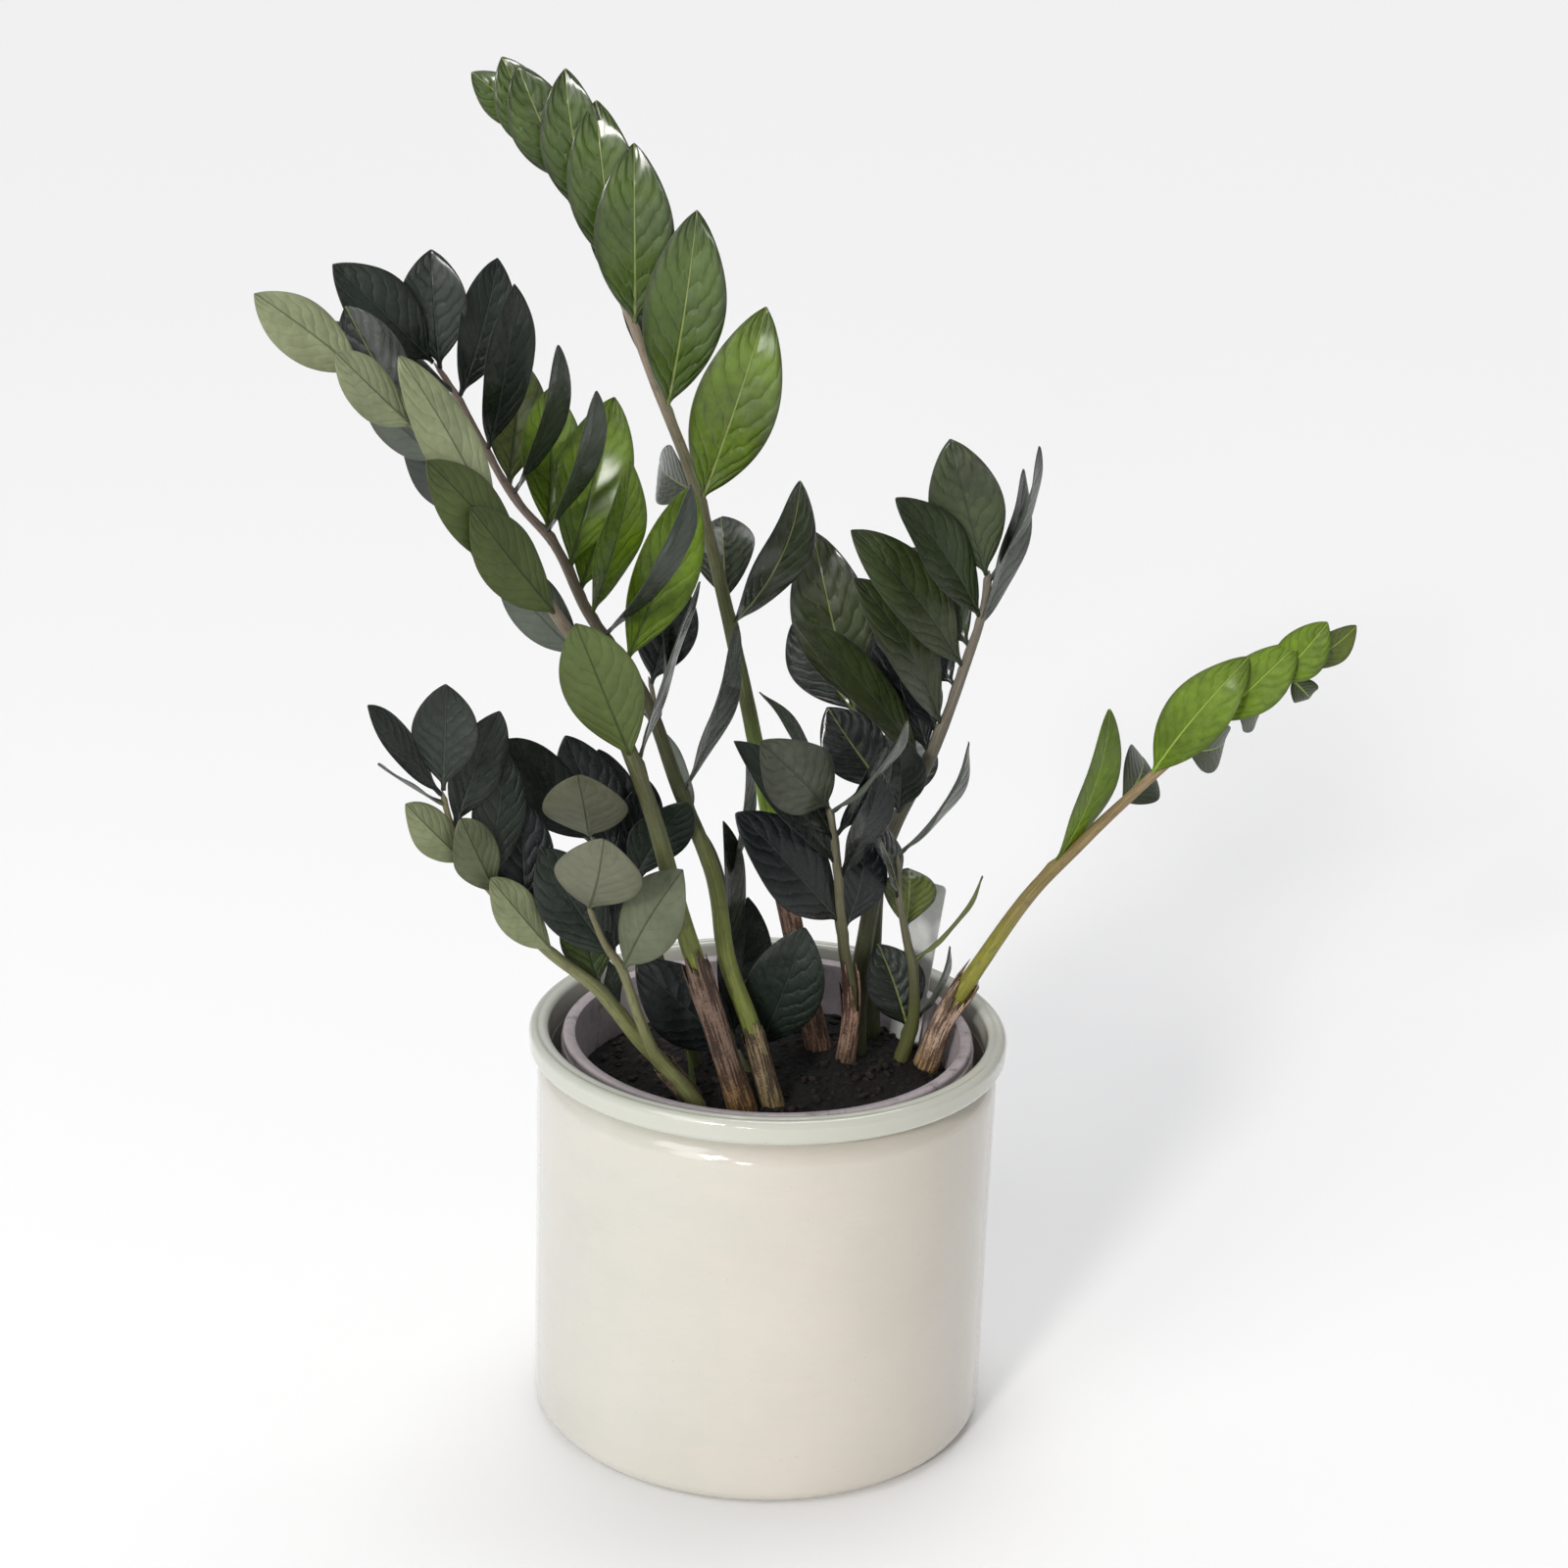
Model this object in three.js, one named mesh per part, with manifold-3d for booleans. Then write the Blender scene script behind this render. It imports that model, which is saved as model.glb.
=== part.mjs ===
// Potted ZZ plant: a clump of fronds in a grower's pot, standing in a glazed cachepot.
// Millimetres, +Z up. The origin is the centre of the cachepot's flat underside, and -Y is the front.
import * as THREE from 'three';
import { mergeVertices } from 'three/addons/utils/BufferGeometryUtils.js';
import Module from 'manifold-3d';

const wasm = await Module();
wasm.setup();

// ---------------------------------------------------------------- driving dimensions
const POT_HEIGHT = 190;
const POT_BODY_RADIUS = 106;
const POT_RIM_OVERHANG = 4;
const POT_WALL = 7;
const POT_FLOOR = 8;
const POT_BASE_ROUNDING = 7;
const POT_RIM_BAND = 9;
const POT_RIM_HEIGHT = 15;
const RIM_GROOVE = 1.5;

const GROWER_SIDE_GAP = 4;
const GROWER_RIM_RECESS = 3.7;
const GROWER_TAPER = 23;
const GROWER_WALL = 1.8;
const GROWER_LIP_WIDTH = 5;
const GROWER_SKIRT_HEIGHT = 10;
const DRAIN_HOLE_RADIUS = 6;
const DRAIN_HOLE_CIRCLE = 48;
const DRAIN_HOLES = 6;

const SOIL_RECESS = 20.3;
const SOIL_CROWN = 3;
const SOIL_EDGE_DIP = 5;
const SPREAD_RADIUS = 85.96;
const PLANTING_DEPTH = 9;
const SOCKET_CLEARANCE = 2.8;

const LABEL = { wide: 15, tall: 88, thick: 0.8, foot: [65, 46], lean: 7, yaw: -20, buried: 8 };

const GAP = 0.3;
const LEAF_THICKNESS = 1;
const PETIOLULE_LENGTH = 6;
const PETIOLULE_HALF_WIDTH = 1.2;
const TIP_HALF_WIDTH = 0.5;
const SHEATH_THICKNESS = 1;

const POT_SIDES = 40;
const STEM_SIDES = 6;
const STEM_STEP = 26;
const SHEATH_STEPS = 2;
const FINE_STATIONS = [0.3, 0.56, 0.82, 1];
const PLAIN_STATIONS = [0.36, 0.7, 1];
const JOINED_START = 0.3;

// ---------------------------------------------------------------- colours
const GLAZE = { color: 0xdcd7ca, roughness: 0.18, metalness: 0 };
const GROWER_PLASTIC = { color: 0xb8adb0, roughness: 0.6, metalness: 0 };
const PEAT = { color: 0x1d1713, roughness: 1, metalness: 0 };
const LABEL_PLASTIC = { color: 0xd9dbd8, roughness: 0.4, metalness: 0 };
const STEM_SKIN = { color: 0x7f8554, roughness: 0.55, metalness: 0 };
const PAPERY_SHEATH = { color: 0x6b5a4e, roughness: 0.9, metalness: 0 };
const BRIGHT_LEAF = { color: 0x5d8a22, roughness: 0.3, metalness: 0 };
const GREEN_LEAF = { color: 0x3d5a26, roughness: 0.3, metalness: 0 };
const DARK_LEAF = { color: 0x2a3032, roughness: 0.35, metalness: 0 };

// ---------------------------------------------------------------- the fronds
// route  points along the stem, from the soil to its tip
// base, tip  stem radii
// bow    how far each blade arches above the line from its base to its tip, as a share of its length
// fold   how steeply the two halves of a blade rise from the midrib
// Each leaflet row is
//   at    where it joins, as a fraction of the stem's length
//   lean  where its tip lies from there, in degrees from upright towards +X
//   back  degrees that the tip lies away from the front
//   turn  degrees turned about its own midrib: 0 shows the glossy face to the front, 180 the underside
//   reach from the stem's centre to the blade's tip
//   wide  the blade's greatest width
//   name  given to a leaflet that is a solid of its own; the rest are joined to their stem
const FRONDS = {
  tall: {
    leaf: GREEN_LEAF, base: 5.2, tip: 1.4, bow: 0.05, fold: 0.16,
    route: [[25, 20, -1], [11, 28, 55], [-2, 35, 109], [-17, 45, 173], [-42, 60, 262],
      [-61, 68, 306], [-73, 74, 334], [-88, 80, 366], [-102, 86, 393], [-115, 92, 411]],
    leaflets: [
      [0.60, 17, -10, 0, 98, 38, 'tall_leaf_1'],
      [0.70, 8, -10, 0, 94, 37, 'tall_leaf_2'],
      [0.79, 0, -10, 0, 84, 36, 'tall_leaf_3'],
      [0.85, -5, -10, 0, 77, 33, 'tall_leaf_4'],
      [0.90, -9, -10, 0, 71, 30, 'tall_leaf_5'],
      [0.94, -24, -10, 0, 60, 29, 'tall_leaf_6'],
      [0.97, -28, -10, 0, 53, 26, 'tall_leaf_7'],
      [1.00, -48, -5, 15, 42, 20, 'tall_leaf_8'],
      [0.47, 24, -14, 42, 80, 32, 'tall_leaf_9'],
      [0.61, -80, 65, 0, 46, 28],
      [0.49, -8, 55, 0, 54, 30],
      [0.73, 0, 45, 0, 74, 32],
      [0.81, -5, 48, 0, 70, 30],
      [0.88, -10, 48, 0, 64, 28],
      [0.94, -20, 50, 0, 52, 25],
    ],
  },
  outer_left: {
    leaf: GREEN_LEAF, base: 5.6, tip: 1.3, bow: -0.02, fold: 0.16,
    route: [[-9, -48, -1], [-22, -49, 40], [-39, -52, 93], [-54, -56, 147], [-78, -62, 207],
      [-98, -66, 239], [-126, -72, 277], [-147, -78, 309], [-170, -84, 335]],
    leaflets: [
      [0.47, -19, -20, 180, 74, 34, 'outer_left_leaf_1'],
      [0.66, -34, -20, 226, 64, 31, 'outer_left_leaf_2'],
      [0.72, -36, -22, 224, 69, 30, 'outer_left_leaf_3'],
      [0.77, -27, -6, 228, 86, 29, 'outer_left_leaf_4'],
      [0.92, -41, -25, 228, 50, 25],
      [1.00, -53, -6, 222, 54, 28, 'outer_left_leaf_5'],
      [0.46, 18, 8, 80, 84, 26],
      [0.60, -50, 22, 160, 55, 29],
      [0.69, -52, 25, 160, 50, 29],
      [0.79, -50, 22, 160, 52, 28],
      [0.87, -55, 24, 160, 48, 27],
      [0.93, -37, 32, 20, 60, 26],
    ],
  },
  inner_left: {
    leaf: DARK_LEAF, base: 5, tip: 1.2, bow: 0.05, fold: 0.25,
    route: [[4, -42, -1], [-7, -37, 36], [-19, -33, 67], [-26, -28, 104], [-43, -22, 144],
      [-60, -14, 185], [-85, -6, 218], [-100, 0, 246], [-119, 6, 266], [-145, 16, 308], [-155, 20, 321]],
    leaflets: [
      [1.00, -42, -18, 34, 63, 31, 'inner_left_leaf_1'],
      [0.99, -4, 3, 0, 52, 30, 'inner_left_leaf_2'],
      [0.95, 15, 19, 28, 64, 26, 'inner_left_leaf_3'],
      [0.88, 10, -8, 42, 77, 27, 'inner_left_leaf_4'],
      [0.71, 14, 15, 0, 78, 33, 'inner_left_leaf_5'],
      [0.58, 20, 12, 20, 83, 31, 'inner_left_leaf_6'],
      [0.41, 16, -8, 66, 85, 27],
      [0.96, -58, -18, 85, 64, 22],
      [0.82, 18, -18, 66, 78, 25],
      [0.83, 2, 30, 0, 60, 27],
      [0.76, 0, 18, 10, 64, 27],
      [0.76, 20, -27, 66, 84, 24],
      [0.68, 20, 32, 0, 60, 27],
      [0.65, 15, -8, 45, 74, 26],
      [0.62, 27, -28, 62, 100, 26],
    ],
  },
  right: {
    leaf: DARK_LEAF, base: 5, tip: 1.6, bow: 0.05, fold: 0.2,
    route: [[41, 21, -1], [42, 24, 41], [52, 28, 103], [71, 34, 146], [84, 38, 186], [91, 42, 211],
      [93, 45, 230]],
    leaflets: [
      [0.99, -18, -3, 0, 66, 34, 'right_leaf_1'],
      [0.91, -34, -18, 46, 76, 31, 'right_leaf_2'],
      [0.81, -39, -13, 45, 89, 34, 'right_leaf_3'],
      [0.69, -30, -16, 50, 90, 33, 'right_leaf_4'],
      [0.60, -40, -12, 60, 99, 30, 'right_leaf_5'],
      [0.98, 19, 0, 75, 66, 26],
      [0.50, -3, -22, 10, 46, 24],
      [0.88, 15, 12, 60, 77, 28],
      [0.63, -25, 14, 20, 66, 27],
      [0.67, -29, 15, 40, 38, 22],
      [0.77, -43, 25, 10, 48, 32],
      [0.85, -39, 22, 10, 56, 32],
    ],
  },
  back_right: {
    leaf: GREEN_LEAF, base: 4, tip: 1.3, bow: 0.05, fold: 0.16,
    route: [[49, 45, -1], [49, 47, 44], [50, 50, 83], [53, 54, 117], [44, 60, 137], [35, 66, 157]],
    leaflets: [
      [1.00, -15, 0, 0, 86, 37, 'back_right_leaf_1'],
      [0.69, 23, 54, 0, 50, 31],
      [0.74, -37, 0, 10, 50, 30],
      [0.98, -42, 28, 10, 54, 28],
      [0.89, 2, 24, 0, 76, 31],
    ],
  },
  front: {
    leaf: DARK_LEAF, base: 4, tip: 1.3, bow: 0.06, fold: 0.2,
    route: [[36, 8, -1], [38, 2, 33], [33, -6, 66], [30, -12, 93], [28, -18, 114], [24, -24, 138]],
    leaflets: [
      [1.00, -37, -36, 20, 63, 33, 'front_leaf_1'],
      [0.79, -37, -14, 60, 80, 27, 'front_leaf_2'],
      [0.57, -39, -18, 40, 79, 36, 'front_leaf_3'],
      [0.88, -36, -18, 60, 45, 22],
      [0.97, -31, 10, 78, 63, 16],
      [0.98, 34, -15, 75, 60, 24],
      [0.89, 28, 6, 50, 47, 25],
      [0.73, 17, -8, 50, 58, 28],
      [0.53, 11, 10, 30, 46, 27],
    ],
  },
  slim: {
    leaf: GREEN_LEAF, base: 3.6, tip: 1, bow: 0.06, fold: 0.3,
    route: [[62, 17, -1], [67, 13, 21], [66, 10, 47], [62, 8, 65], [58, 4, 85], [56, 0, 108]],
    leaflets: [
      [1.00, 30, 0, 70, 62, 24],
      [0.80, -22, -13, 65, 45, 20],
      [0.49, 38, 6, 80, 52, 12],
      [0.63, 4, 49, 0, 34, 25],
      [0.16, -23, 11, 20, 44, 29],
      [0.20, 26, 15, 70, 40, 17],
    ],
  },
  arching: {
    leaf: BRIGHT_LEAF, base: 5, tip: 1, bow: 0.08, fold: 0.18,
    route: [[74, 13, -1], [82, 12, 24], [96, 11, 51], [118, 6, 90], [135, 2, 112], [150, 0, 130],
      [179, -4, 162], [204, -6, 184], [225, -8, 203]],
    leaflets: [
      [0.46, 13, -10, 50, 83, 29, 'arching_leaf_1'],
      [0.70, 31, -10, -20, 71, 28, 'arching_leaf_2'],
      [0.84, 37, -9, -15, 52, 25],
      [0.62, 55, 69, 0, 48, 28],
      [0.95, 34, -10, -10, 40, 22],
      [1.00, 51, 0, 20, 34, 18],
      [0.99, 137, 30, 0, 22, 13],
      [0.88, 118, 60, 0, 38, 18],
      [0.77, 104, 57, 0, 46, 23],
    ],
  },
  low_left: {
    leaf: DARK_LEAF, base: 4.4, tip: 1, bow: -0.02, fold: 0.14,
    route: [[-33, -34, -1], [-46, -41, 19], [-57, -46, 33], [-75, -55, 60], [-98, -65, 83],
      [-116, -72, 106], [-133, -78, 132], [-140, -82, 159]],
    leaflets: [
      [0.53, -29, -22, 226, 54, 27, 'low_left_leaf_1'],
      [0.72, -16, -17, 220, 44, 28, 'low_left_leaf_2'],
      [0.86, -30, -27, 226, 44, 26],
      [1.00, 3, -6, 0, 49, 28, 'low_left_leaf_3'],
      [0.99, -36, -10, 76, 52, 24],
      [0.97, -52, -20, 110, 36, 16],
      [0.91, 21, 14, 30, 54, 26],
      [0.75, 7, 12, 30, 58, 26],
      [0.62, -3, 12, 20, 57, 27],
      [0.38, -16, 14, 30, 42, 26],
      [0.30, -13, 19, 60, 24, 13],
    ],
  },
  low_front: {
    leaf: DARK_LEAF, base: 3.8, tip: 1.2, bow: -0.05, fold: 0.05,
    route: [[-28, -47, -1], [-38, -51, 15], [-49, -54, 29], [-57, -58, 50], [-65, -62, 74],
      [-71, -66, 85], [-79, -71, 106]],
    leaflets: [
      [0.99, 11, -46, 180, 74, 38, 'low_front_leaf_1'],
      [0.69, 26, -18, 150, 64, 31],
      [0.73, -32, -5, 30, 63, 31],
      [0.76, 2, 28, 20, 34, 26],
    ],
  },
  low_back: {
    leaf: DARK_LEAF, base: 2.8, tip: 1.2, bow: -0.05, fold: 0.05,
    route: [[-32, -2, -1], [-38, -6, 20], [-48, -14, 53], [-55, -22, 80], [-63, -28, 100],
      [-73, -34, 115], [-81, -38, 126]],
    leaflets: [
      [1.00, -2, -48, 180, 66, 37, 'low_back_leaf_1'],
      [0.96, -38, -7, 45, 63, 31],
      [0.85, -22, 5, 20, 63, 29],
      [0.79, -14, 12, 20, 59, 29],
      [0.98, -42, -14, 60, 53, 26],
      [0.73, 4, 8, 30, 52, 25],
      [0.77, 30, -16, 20, 53, 28],
    ],
  },
  back_left: {
    leaf: DARK_LEAF, base: 2.4, tip: 1, bow: 0.05, fold: 0.25,
    route: [[-5, 38, -1], [-11, 40, 24], [-28, 46, 88], [-38, 50, 104], [-53, 56, 140], [-61, 60, 170]],
    leaflets: [
      [0.62, -22, -10, 110, 60, 23],
      [0.98, 13, 0, 0, 53, 29],
      [0.89, 1, -10, 85, 56, 16],
    ],
  },
  shoot_centre: {
    leaf: DARK_LEAF, base: 2.4, tip: 1.2, bow: 0.05, fold: 0.1,
    route: [[-2, -12, -1], [-5, -14, 16]],
    leaflets: [
      [1.00, 17, -12, 0, 71, 36],
    ],
  },
  shoot_low: {
    leaf: DARK_LEAF, base: 2.4, tip: 1.2, bow: 0.1, fold: 0.1,
    route: [[-8, -6, -1], [-14, -10, 14]],
    leaflets: [
      [1.00, -45, -9, 20, 66, 34],
    ],
  },
  shoot_upright: {
    leaf: DARK_LEAF, base: 2.4, tip: 1.2, bow: 0.05, fold: 0.3,
    route: [[-16, 10, -1], [-23, 12, 48], [-22, 14, 84]],
    leaflets: [
      [0.50, 0, 0, 70, 76, 26],
      [1.00, 8, 5, 75, 63, 20],
      [0.15, 6, 13, 20, 66, 27],
    ],
  },
};

// Brown papery sheaths that wrap a stem's foot, as a stretch of that stem's length.
const SHEATHS = {
  tall: { from: 0.04, to: 0.26 },
  outer_left: { from: 0.04, to: 0.22 },
  arching: { from: 0.05, to: 0.2 },
  front: { from: 0.08, to: 0.34 },
  low_left: { from: 0.06, to: 0.13 },
};

// ---------------------------------------------------------------- what follows from the sizes
const potRimRadius = POT_BODY_RADIUS + POT_RIM_OVERHANG;
const growerRimRadius = POT_BODY_RADIUS - POT_WALL - GROWER_SIDE_GAP;
const growerBaseRadius = growerRimRadius - GROWER_TAPER;
const growerFloor = POT_FLOOR + GAP;
const growerRim = POT_HEIGHT - GROWER_RIM_RECESS;
const growerNeck = growerRim - GROWER_SKIRT_HEIGHT;
const growerNeckRadius = growerRimRadius - GROWER_LIP_WIDTH;
const soilFloor = growerFloor + GROWER_WALL + GAP;
const soilLevel = growerRim - SOIL_RECESS;
const soilEdge = soilLevel - SOIL_EDGE_DIP;

function growerWallRadius(height) {
  const share = (height - growerFloor) / (growerNeck - growerFloor);
  return growerBaseRadius + (growerNeckRadius - growerBaseRadius) * share;
}

function soilRadius(height) {
  return growerWallRadius(height) - GROWER_WALL - GAP * 2;
}

// A point given above the soil, moved with its foot: the feet stand closer in a narrower pot.
const spread = soilRadius(soilEdge) / SPREAD_RADIUS;

function planted([x, y, height], [footX, footY]) {
  return new THREE.Vector3(
    x + footX * (spread - 1),
    y + footY * (spread - 1),
    height + soilLevel,
  );
}

// ---------------------------------------------------------------- helpers
const root = new THREE.Group();
root.name = 'potted_zz_plant';

const rad = THREE.MathUtils.degToRad;

function positionsOnly(geometry) {
  const bare = geometry.clone();
  bare.deleteAttribute('normal');
  bare.deleteAttribute('uv');
  return mergeVertices(bare, 1e-4);
}

function toSolid(geometry) {
  const merged = positionsOnly(geometry);
  return new wasm.Manifold(new wasm.Mesh({
    numProp: 3,
    vertProperties: new Float32Array(merged.attributes.position.array),
    triVerts: new Uint32Array(merged.index.array),
  }));
}

function toGeometry(solid) {
  const mesh = solid.getMesh();
  const geometry = new THREE.BufferGeometry();
  geometry.setAttribute('position', new THREE.BufferAttribute(new Float32Array(mesh.vertProperties), 3));
  geometry.setIndex(new THREE.BufferAttribute(new Uint32Array(mesh.triVerts), 1));
  geometry.computeVertexNormals();
  return geometry;
}

function addMesh(name, geometry, finish, parent = root) {
  const mesh = new THREE.Mesh(geometry, new THREE.MeshStandardMaterial(finish));
  mesh.name = name;
  parent.add(mesh);
  return mesh;
}

function lathe(points, segments) {
  const outline = points.map(([radius, height]) => new THREE.Vector2(radius, height));
  return new THREE.LatheGeometry(outline, segments).rotateX(Math.PI / 2);
}

function arc(centreRadius, centreHeight, radius, fromDegrees, toDegrees, steps) {
  const points = [];
  for (let step = 0; step <= steps; step += 1) {
    const angle = rad(fromDegrees + (toDegrees - fromDegrees) * step / steps);
    points.push([centreRadius + radius * Math.cos(angle), centreHeight + radius * Math.sin(angle)]);
  }
  return points;
}

// A stem as straight stretches along its curve: its centre, direction and radius at each fraction.
function makeStem(frond) {
  const curve = new THREE.CatmullRomCurve3(frond.route.map((point) => planted(point, frond.route[0])));
  const steps = Math.max(3, Math.round(curve.getLength() / STEM_STEP));
  const joints = curve.getSpacedPoints(steps);
  const centreAt = (t) => {
    const joint = Math.min(Math.floor(t * steps), steps - 1);
    return joints[joint].clone().lerp(joints[joint + 1], t * steps - joint);
  };
  const directionAt = (t) => curve.getTangentAt(t);
  const radiusAt = (t) => frond.tip + (frond.base - frond.tip) * (1 - t) ** 0.8;
  return { foot: curve.points[0], steps, centreAt, directionAt, radiusAt };
}

// A tapered tube along the stem between two fractions of its length: a closed cylinder bent to fit.
function bendTube(stem, from, to, radiusAt, sides, steps) {
  const tube = new THREE.CylinderGeometry(1, 1, 1, sides, steps, false);
  const position = tube.attributes.position;
  const forward = new THREE.Vector3(0, -1, 0);
  const across = new THREE.Vector3();
  const up = new THREE.Vector3();
  for (let i = 0; i < position.count; i += 1) {
    const t = from + (to - from) * (position.getY(i) + 0.5);
    const centre = stem.centreAt(t);
    const tangent = stem.directionAt(t);
    across.crossVectors(tangent, forward).normalize();
    up.crossVectors(across, tangent);
    centre.addScaledVector(across, position.getX(i) * radiusAt(t));
    centre.addScaledVector(up, position.getZ(i) * radiusAt(t));
    position.setXYZ(i, centre.x, centre.y, centre.z);
  }
  return tube;
}

// ---------------------------------------------------------------- leaflets
// Half the blade's width at a fraction t of its length: a narrow petiolule, then a pointed oval.
function leafHalfWidth(t, long, wide) {
  const bladeStart = PETIOLULE_LENGTH / long;
  if (t <= bladeStart) {
    return PETIOLULE_HALF_WIDTH;
  }
  const s = (t - bladeStart) / (1 - bladeStart);
  const oval = Math.sin(Math.PI * s ** 1.15) ** 0.75 * wide / 2;
  return Math.max(oval, s < 0.5 ? PETIOLULE_HALF_WIDTH : TIP_HALF_WIDTH);
}

function direction(lean, back) {
  return new THREE.Vector3(
    Math.sin(rad(lean)) * Math.cos(rad(back)),
    Math.sin(rad(back)),
    Math.cos(rad(lean)) * Math.cos(rad(back)),
  );
}

// The blade's own axes: along its midrib, out of its glossy face, and across.
function leafFrame(along, turn) {
  const front = new THREE.Vector3(0, -1, 0);
  const face = front.addScaledVector(along, -front.dot(along)).normalize();
  face.applyAxisAngle(along, rad(turn));
  const side = new THREE.Vector3().crossVectors(along, face);
  return { along, face, side };
}

// A box with a row of stations along its length, reshaped into a thin folded and arched blade.
function leafGeometry(start, frame, frond, long, wide, bladeStations) {
  const stations = [0, PETIOLULE_LENGTH / long, ...bladeStations];
  const steps = stations.length - 1;
  const blade = new THREE.BoxGeometry(2, 1, 1, 2, steps, 1);
  const position = blade.attributes.position;
  for (let i = 0; i < position.count; i += 1) {
    const t = stations[Math.round((position.getY(i) + 0.5) * steps)];
    const x = position.getX(i) * leafHalfWidth(t, long, wide);
    const rise = frond.fold * Math.abs(x) + frond.bow * long * 4 * t * (1 - t);
    const z = rise + position.getZ(i) * LEAF_THICKNESS;
    const point = start.clone();
    point.addScaledVector(frame.along, t * long);
    point.addScaledVector(frame.side, x);
    point.addScaledVector(frame.face, z);
    position.setXYZ(i, point.x, point.y, point.z);
  }
  return blade;
}

// A leaflet that is a solid of its own starts a gap off the stem's skin; a joined one starts inside it.
function placeLeaf(stem, frond, row) {
  const [at, lean, back, turn, reach, wide, name] = row;
  const centre = stem.centreAt(at);
  const tangent = stem.directionAt(at);
  const tip = direction(lean, back).multiplyScalar(reach).add(centre);
  const out = direction(lean, back).projectOnPlane(tangent).normalize();
  const rough = leafFrame(direction(lean, back), turn);
  const inward = PETIOLULE_HALF_WIDTH * Math.abs(rough.side.dot(out))
    + LEAF_THICKNESS * Math.abs(rough.face.dot(out)) * 0.6;
  const offset = name ? stem.radiusAt(at) + GAP + inward : stem.radiusAt(at) * JOINED_START;
  const start = centre.addScaledVector(out, offset);
  const midrib = tip.sub(start);
  const frame = leafFrame(midrib.clone().normalize(), turn);
  const stations = name ? FINE_STATIONS : PLAIN_STATIONS;
  return leafGeometry(start, frame, frond, midrib.length(), wide, stations);
}

// ---------------------------------------------------------------- the cachepot
function makePot() {
  const innerBody = POT_BODY_RADIUS - POT_WALL;
  const innerRim = potRimRadius - POT_RIM_BAND;
  const neck = POT_HEIGHT - POT_RIM_HEIGHT;
  const bead = POT_RIM_HEIGHT / 3;
  return lathe([
    [0, 0],
    ...arc(POT_BODY_RADIUS - POT_BASE_ROUNDING, POT_BASE_ROUNDING, POT_BASE_ROUNDING, -90, 0, 3),
    [POT_BODY_RADIUS, neck - RIM_GROOVE * 3],
    [POT_BODY_RADIUS - RIM_GROOVE, neck],
    [potRimRadius - RIM_GROOVE, neck + RIM_GROOVE * 2],
    ...arc(potRimRadius - bead, POT_HEIGHT - bead, bead, 0, 90, 4),
    [innerRim + RIM_GROOVE, POT_HEIGHT - RIM_GROOVE],
    [innerRim, POT_HEIGHT - RIM_GROOVE * 3],
    [innerBody, neck - POT_RIM_HEIGHT],
    ...arc(innerBody - POT_BASE_ROUNDING, POT_FLOOR + POT_BASE_ROUNDING, POT_BASE_ROUNDING, 0, -90, 2),
    [0, POT_FLOOR],
  ], POT_SIDES);
}

// ---------------------------------------------------------------- the grower's pot
function makeGrowerPot() {
  const shell = toSolid(lathe([
    [0, growerFloor],
    [growerBaseRadius, growerFloor],
    [growerNeckRadius, growerNeck],
    [growerRimRadius - GROWER_WALL, growerNeck],
    [growerRimRadius - GROWER_WALL, growerNeck - GROWER_WALL],
    [growerRimRadius, growerNeck - GROWER_WALL],
    [growerRimRadius, growerRim - GROWER_WALL],
    [growerRimRadius - GROWER_WALL, growerRim],
    [growerNeckRadius - GROWER_WALL / 2, growerRim],
    [growerNeckRadius - GROWER_WALL, growerRim - GROWER_WALL],
    [growerNeckRadius - GROWER_WALL, growerNeck],
    [growerBaseRadius - GROWER_WALL, growerFloor + GROWER_WALL],
    [0, growerFloor + GROWER_WALL],
  ], POT_SIDES));
  const drill = new THREE.CylinderGeometry(DRAIN_HOLE_RADIUS, DRAIN_HOLE_RADIUS, GROWER_WALL * 4, 8)
    .rotateX(Math.PI / 2);
  let drained = shell;
  for (let hole = 0; hole < DRAIN_HOLES; hole += 1) {
    const angle = 2 * Math.PI * hole / DRAIN_HOLES;
    const cutter = drill.clone().translate(
      DRAIN_HOLE_CIRCLE * Math.cos(angle),
      DRAIN_HOLE_CIRCLE * Math.sin(angle),
      growerFloor + GROWER_WALL / 2,
    );
    drained = drained.subtract(toSolid(cutter));
  }
  return toGeometry(drained);
}

// ---------------------------------------------------------------- the soil
function makeSoil(cutters) {
  const heap = lathe([
    [0, soilFloor],
    [soilRadius(soilFloor), soilFloor],
    [soilRadius(soilEdge), soilEdge],
    [soilRadius(soilEdge) * 0.85, soilLevel],
    [soilRadius(soilEdge) * 0.4, soilLevel + SOIL_CROWN],
    [0, soilLevel + SOIL_CROWN],
  ], POT_SIDES / 2);
  let soil = toSolid(heap);
  for (const cutter of cutters) {
    soil = soil.subtract(cutter);
  }
  return toGeometry(soil);
}

// ---------------------------------------------------------------- the plant label
function makeLabel(clearance) {
  const plate = new THREE.BoxGeometry(
    LABEL.wide + clearance * 2,
    LABEL.thick + clearance * 2,
    LABEL.tall + clearance * 2,
  );
  plate.translate(0, 0, LABEL.tall / 2 - LABEL.buried);
  plate.rotateY(rad(LABEL.lean)).rotateZ(rad(LABEL.yaw));
  const { x, y, z } = planted([...LABEL.foot, 0], LABEL.foot);
  return plate.translate(x, y, z);
}

// ---------------------------------------------------------------- stems and sheaths
// The hole that a stem's foot stands in, wide enough for the stem's slant.
function stemSocket(frond, { foot }) {
  const radius = frond.base + SOCKET_CLEARANCE;
  const depth = PLANTING_DEPTH + GAP;
  const hole = new THREE.CylinderGeometry(radius, radius, depth * 2, STEM_SIDES).rotateX(Math.PI / 2);
  return toSolid(hole.translate(foot.x, foot.y, foot.z));
}

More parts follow.
